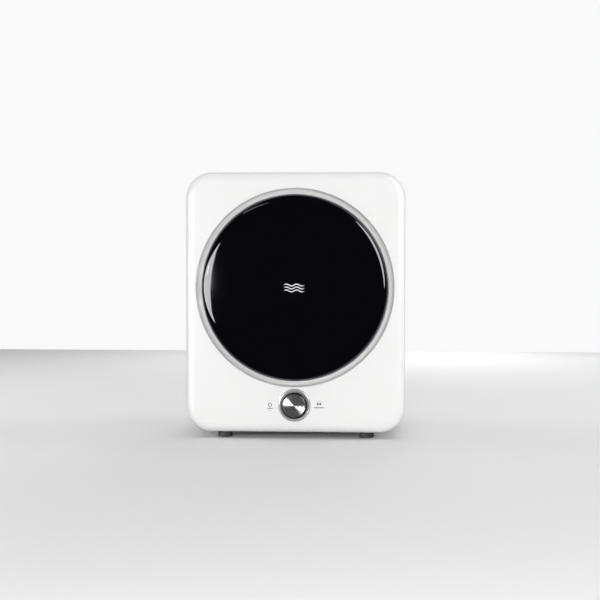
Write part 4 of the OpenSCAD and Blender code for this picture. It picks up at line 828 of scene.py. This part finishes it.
def makeLegends(look):
    # a ring and a bow tie, each over a bar, and hairline notes above and below
    flat = lambda x, z: np.full(np.shape(x), faceY)
    line = lambda x, z, width: np.stack([np.linspace(x - width / 2, x + width / 2, 12), np.full(12, z)], -1)
    left, right = -look["side"], look["side"]
    turn = np.linspace(0, 2 * np.pi, 49)
    ringZ, tieZ = (dialZ + rise for rise in look["iconRise"])
    ring = np.stack([left + look["ringR"] * np.cos(turn), ringZ + look["ringR"] * np.sin(turn)], -1)
    tie = line(right, tieZ, look["tieWidth"])
    tieHalf = np.interp(np.abs(np.linspace(-1, 1, 12)), (0, 1), look["tieHalf"])
    dark = [inkStroke(ring, look["ringHalf"], flat, look["film"]),
            inkStroke(tie, tieHalf, flat, look["film"])]
    for x, drop, width in zip((left, right), look["barDrop"], look["barWidth"]):
        dark.append(inkStroke(line(x, dialZ - drop, width), look["barHalf"], flat, look["film"]))
    notes = [inkStroke(line(x, z, width), look["noteHalf"], flat, look["film"]) for x, z, width in (
        (left, dialZ + look["noteRise"], look["noteWidth"]),
        (left, dialZ - look["noteDrop"], look["noteWidth"]),
        (right, dialZ + look["noteRise"], 2 * look["noteWidth"]))]
    meshPiece("dialLegends", dark, darkInk, "case")
    meshPiece("dialNotes", notes, greyInk, "case")


makeLegends(legends)
print("dial made")


# Feet

footLow, footHigh = boxOf("rubber_feet")
feet = {"r": 16.5 * mm, "well": 6 * mm, "bolt": 1.9 * mm, "ribs": 24, "ribDepth": 0.4 * mm}


def makeFeet(look):
    # tread with a rounded edge, a ribbed body, a collar; turned about Z at four places
    z0, z1 = footLow[2], footHigh[2]
    r = look["r"]
    section = roundPath([
        (look["well"], z0, 0.4 * mm), (r - 0.8 * mm, z0, 0.8 * mm), (r, z0 + 3 * mm, 1.5 * mm),
        (r - 0.3 * mm, z1 - 5.2 * mm, 0.8 * mm), (r - 1.4 * mm, z1 - 4.8 * mm, 0.3 * mm),
        (r - 1.4 * mm, z1, 0.3 * mm), (look["bolt"], z1, 0), (look["bolt"], z0 + 6.2 * mm, 0),
        (look["well"], z0 + 6.2 * mm, 0.3 * mm)])
    ribbed = lambda height, angle: (-look["ribDepth"] * np.clip((section[:, :1] - r + 1 * mm) / mm, 0, 1)
                                    * (0.5 + 0.5 * np.cos(look["ribs"] * angle)) ** 4)
    parts = []
    for x in (footLow[0] + r, footHigh[0] - r):
        for y in (footLow[1] + r, footHigh[1] - r):
            parts.append(turnedSurface(section, (x, y), axis=2, columns=96, ripple=ribbed))
    piece = meshPiece("rubberFeet", parts, finishes["foot_rubber"], "case")
    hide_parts("rubber_feet")


makeFeet(feet)


# Drum

drumLow, drumHigh = boxOf("drum_shell")
feltLow, feltHigh = boxOf("front_felt_seal")
drumSkin = {
    "sheet": 0.8 * mm, "bead": 1.3 * mm, "beadHalf": 7 * mm, "beads": (0.16, 0.5, 0.84),
    "corner": 5 * mm, "lip": 7.6 * mm, "clear": 0.4 * mm,
}


def makeDrumSkin(look):
    # a rolled sheet with three shallow beads pressed inward, and a flanged front lip
    half = look["sheet"] / 2
    r = (drumHigh[0] - drumLow[0]) / 2 - half
    lipR = (feltHigh[0] - feltLow[0]) / 2 + look["clear"] + half
    y0, y1 = drumLow[1] + half, drumHigh[1]
    y = np.linspace(y0 + look["corner"] + 1 * mm, y1, 120)
    wall = np.full(len(y), r)
    for share in look["beads"]:
        t = np.clip(np.abs(y - (y0 + share * (y1 - y0))) / look["beadHalf"], 0, 1)
        wall -= look["bead"] * (0.5 + 0.5 * np.cos(np.pi * t))
    front = roundPath([(lipR, y0 + look["lip"], 0), (lipR, y0, 2 * mm), (r, y0, look["corner"]),
                       (r, y0 + look["corner"] + 0.5 * mm, 0)], closed=False, steps=8)
    path = np.concatenate([front[:-1], np.stack([wall, y], -1)])
    piece = meshPiece("drumSkin", [turnedSurface(sheetSection(path, look["sheet"]), (0, doorZ), columns=192)],
                      finishes["drum_steel"], "drum")
    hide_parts("drum_shell")


makeDrumSkin(drumSkin)
print("feet and drum made")


# Floor, light and surroundings

studio = {
    "floor": 5.6, "floorShade": 0.74, "ceiling": (1.1, 1.4),      # strength and width in radians
    "background": 0.95, "room": 0.12, "gloom": 0.02,      # what the camera, matt and glossy surfaces see
    "lights": (
        # name, shape, place, size across and up, power, aimed at, lights matt things, shows in gloss
        ("front", "RECTANGLE", (0.0, -3.3, 0.5), (0.7, 0.7), 47, (0, -0.1, 0.3), True, False),
        ("key", "RECTANGLE", (1.8, -2.7, 0.8), (0.8, 0.8), 17, (0, -0.1, 0.3), True, False),
        ("top", "RECTANGLE", (0.0, -0.5, 2.6), (1.6, 1.2), 5, (0, -0.1, 0.3), True, False),
        ("leftSide", "RECTANGLE", (-2.4, 0.4, 1.1), (1.2, 1.2), 22, (0, 0.1, 0.3), True, False),
        ("rightSide", "RECTANGLE", (2.4, 0.4, 1.1), (1.2, 1.2), 22, (0, 0.1, 0.3), True, False),
        ("back", "RECTANGLE", (0.4, 2.9, 1.3), (1.2, 1.2), 30, (0, 0.1, 0.3), True, False),
        ("leftSail", "ELLIPSE", (-1.2, -2.72, 0.36), (4.9, 1.05), 140, (0, -2.72, 0.36), False, True),
        ("rightSail", "ELLIPSE", (1.1, -0.72, 0.97), (0.7, 1.3), 22, (0, -0.72, 0.97), False, True),
        ("highStrip", "RECTANGLE", (-0.62, -0.7, 1.35), (0.5, 0.03), 0.4, (0, -0.2, 0.4), False, True),
        ("highStripTwin", "RECTANGLE", (-0.56, -0.86, 1.3), (0.5, 0.03), 0.3, (0, -0.2, 0.4), False, True),
        ("dialStrip", "RECTANGLE", (-0.95, -1.0, 0.5), (0.15, 0.1), 0.8, (0, -0.2, 0.08), False, True),
    ),
}


def makeFloor(look):
    side = look["floor"] / 2
    mesh = bpy.data.meshes.new("floor")
    corners = [(x * side, y * side, 0) for x, y in ((-1, -1), (1, -1), (1, 1), (-1, 1))]
    mesh.from_pydata(corners, [], [(0, 1, 2, 3)])
    floor = bpy.data.objects.new("floor", mesh)
    bpy.context.scene.collection.objects.link(floor)
    paper = Finish("floorPaper", Roughness=0.9, Specular_IOR_Level=0.1)
    fibre = paper.noise(paper.coords(), 400, 3.0)
    tone = look["floorShade"]
    paper.set(Base_Color=paper.tint(fibre, (tone * 0.99,) * 3, (tone,) * 3))
    mesh.materials.append(paper.material)
    floor.visible_glossy = False


def makeLamps(look):
    sun = bpy.data.lights.new("ceiling", "SUN")
    sun.energy, sun.angle = look["ceiling"]
    ceiling = bpy.data.objects.new("ceiling", sun)
    bpy.context.scene.collection.objects.link(ceiling)
    ceiling.visible_glossy = False
    for name, shape, place, size, power, target, matt, gloss in look["lights"]:
        data = bpy.data.lights.new(name, "AREA")
        data.shape, data.size, data.size_y, data.energy = shape, size[0], size[1], power
        lamp = bpy.data.objects.new(name, data)
        bpy.context.scene.collection.objects.link(lamp)
        lamp.location = place
        lamp.visible_camera, lamp.visible_diffuse, lamp.visible_glossy = False, matt, gloss
        lamp.rotation_euler = (Vector(target) - Vector(place)).to_track_quat("-Z", "Y").to_euler()


def makeWorld(look):
    # a room whose brightness depends on what looks at it
    world = bpy.data.worlds.new("studio")
    world.use_nodes = True
    tree = world.node_tree
    tree.nodes.clear()
    path = tree.nodes.new("ShaderNodeLightPath")
    level = look["gloom"]
    for ray, brightness in (("Is Diffuse Ray", look["room"]), ("Is Camera Ray", look["background"])):
        choose = tree.nodes.new("ShaderNodeMix")
        tree.links.new(path.outputs[ray], choose.inputs[0])
        choose.inputs[3].default_value = brightness
        if isinstance(level, float):
            choose.inputs[2].default_value = level
        else:
            tree.links.new(level, choose.inputs[2])
        level = choose.outputs[0]
    sky = tree.nodes.new("ShaderNodeBackground")
    sky.inputs["Color"].default_value = (1, 1, 1, 1)
    tree.links.new(level, sky.inputs["Strength"])
    tree.links.new(sky.outputs[0], tree.nodes.new("ShaderNodeOutputWorld").inputs["Surface"])
    bpy.context.scene.world = world
    bpy.context.scene.view_settings.view_transform = "Standard"


makeFloor(studio)
makeLamps(studio)
makeWorld(studio)
print("studio lit")
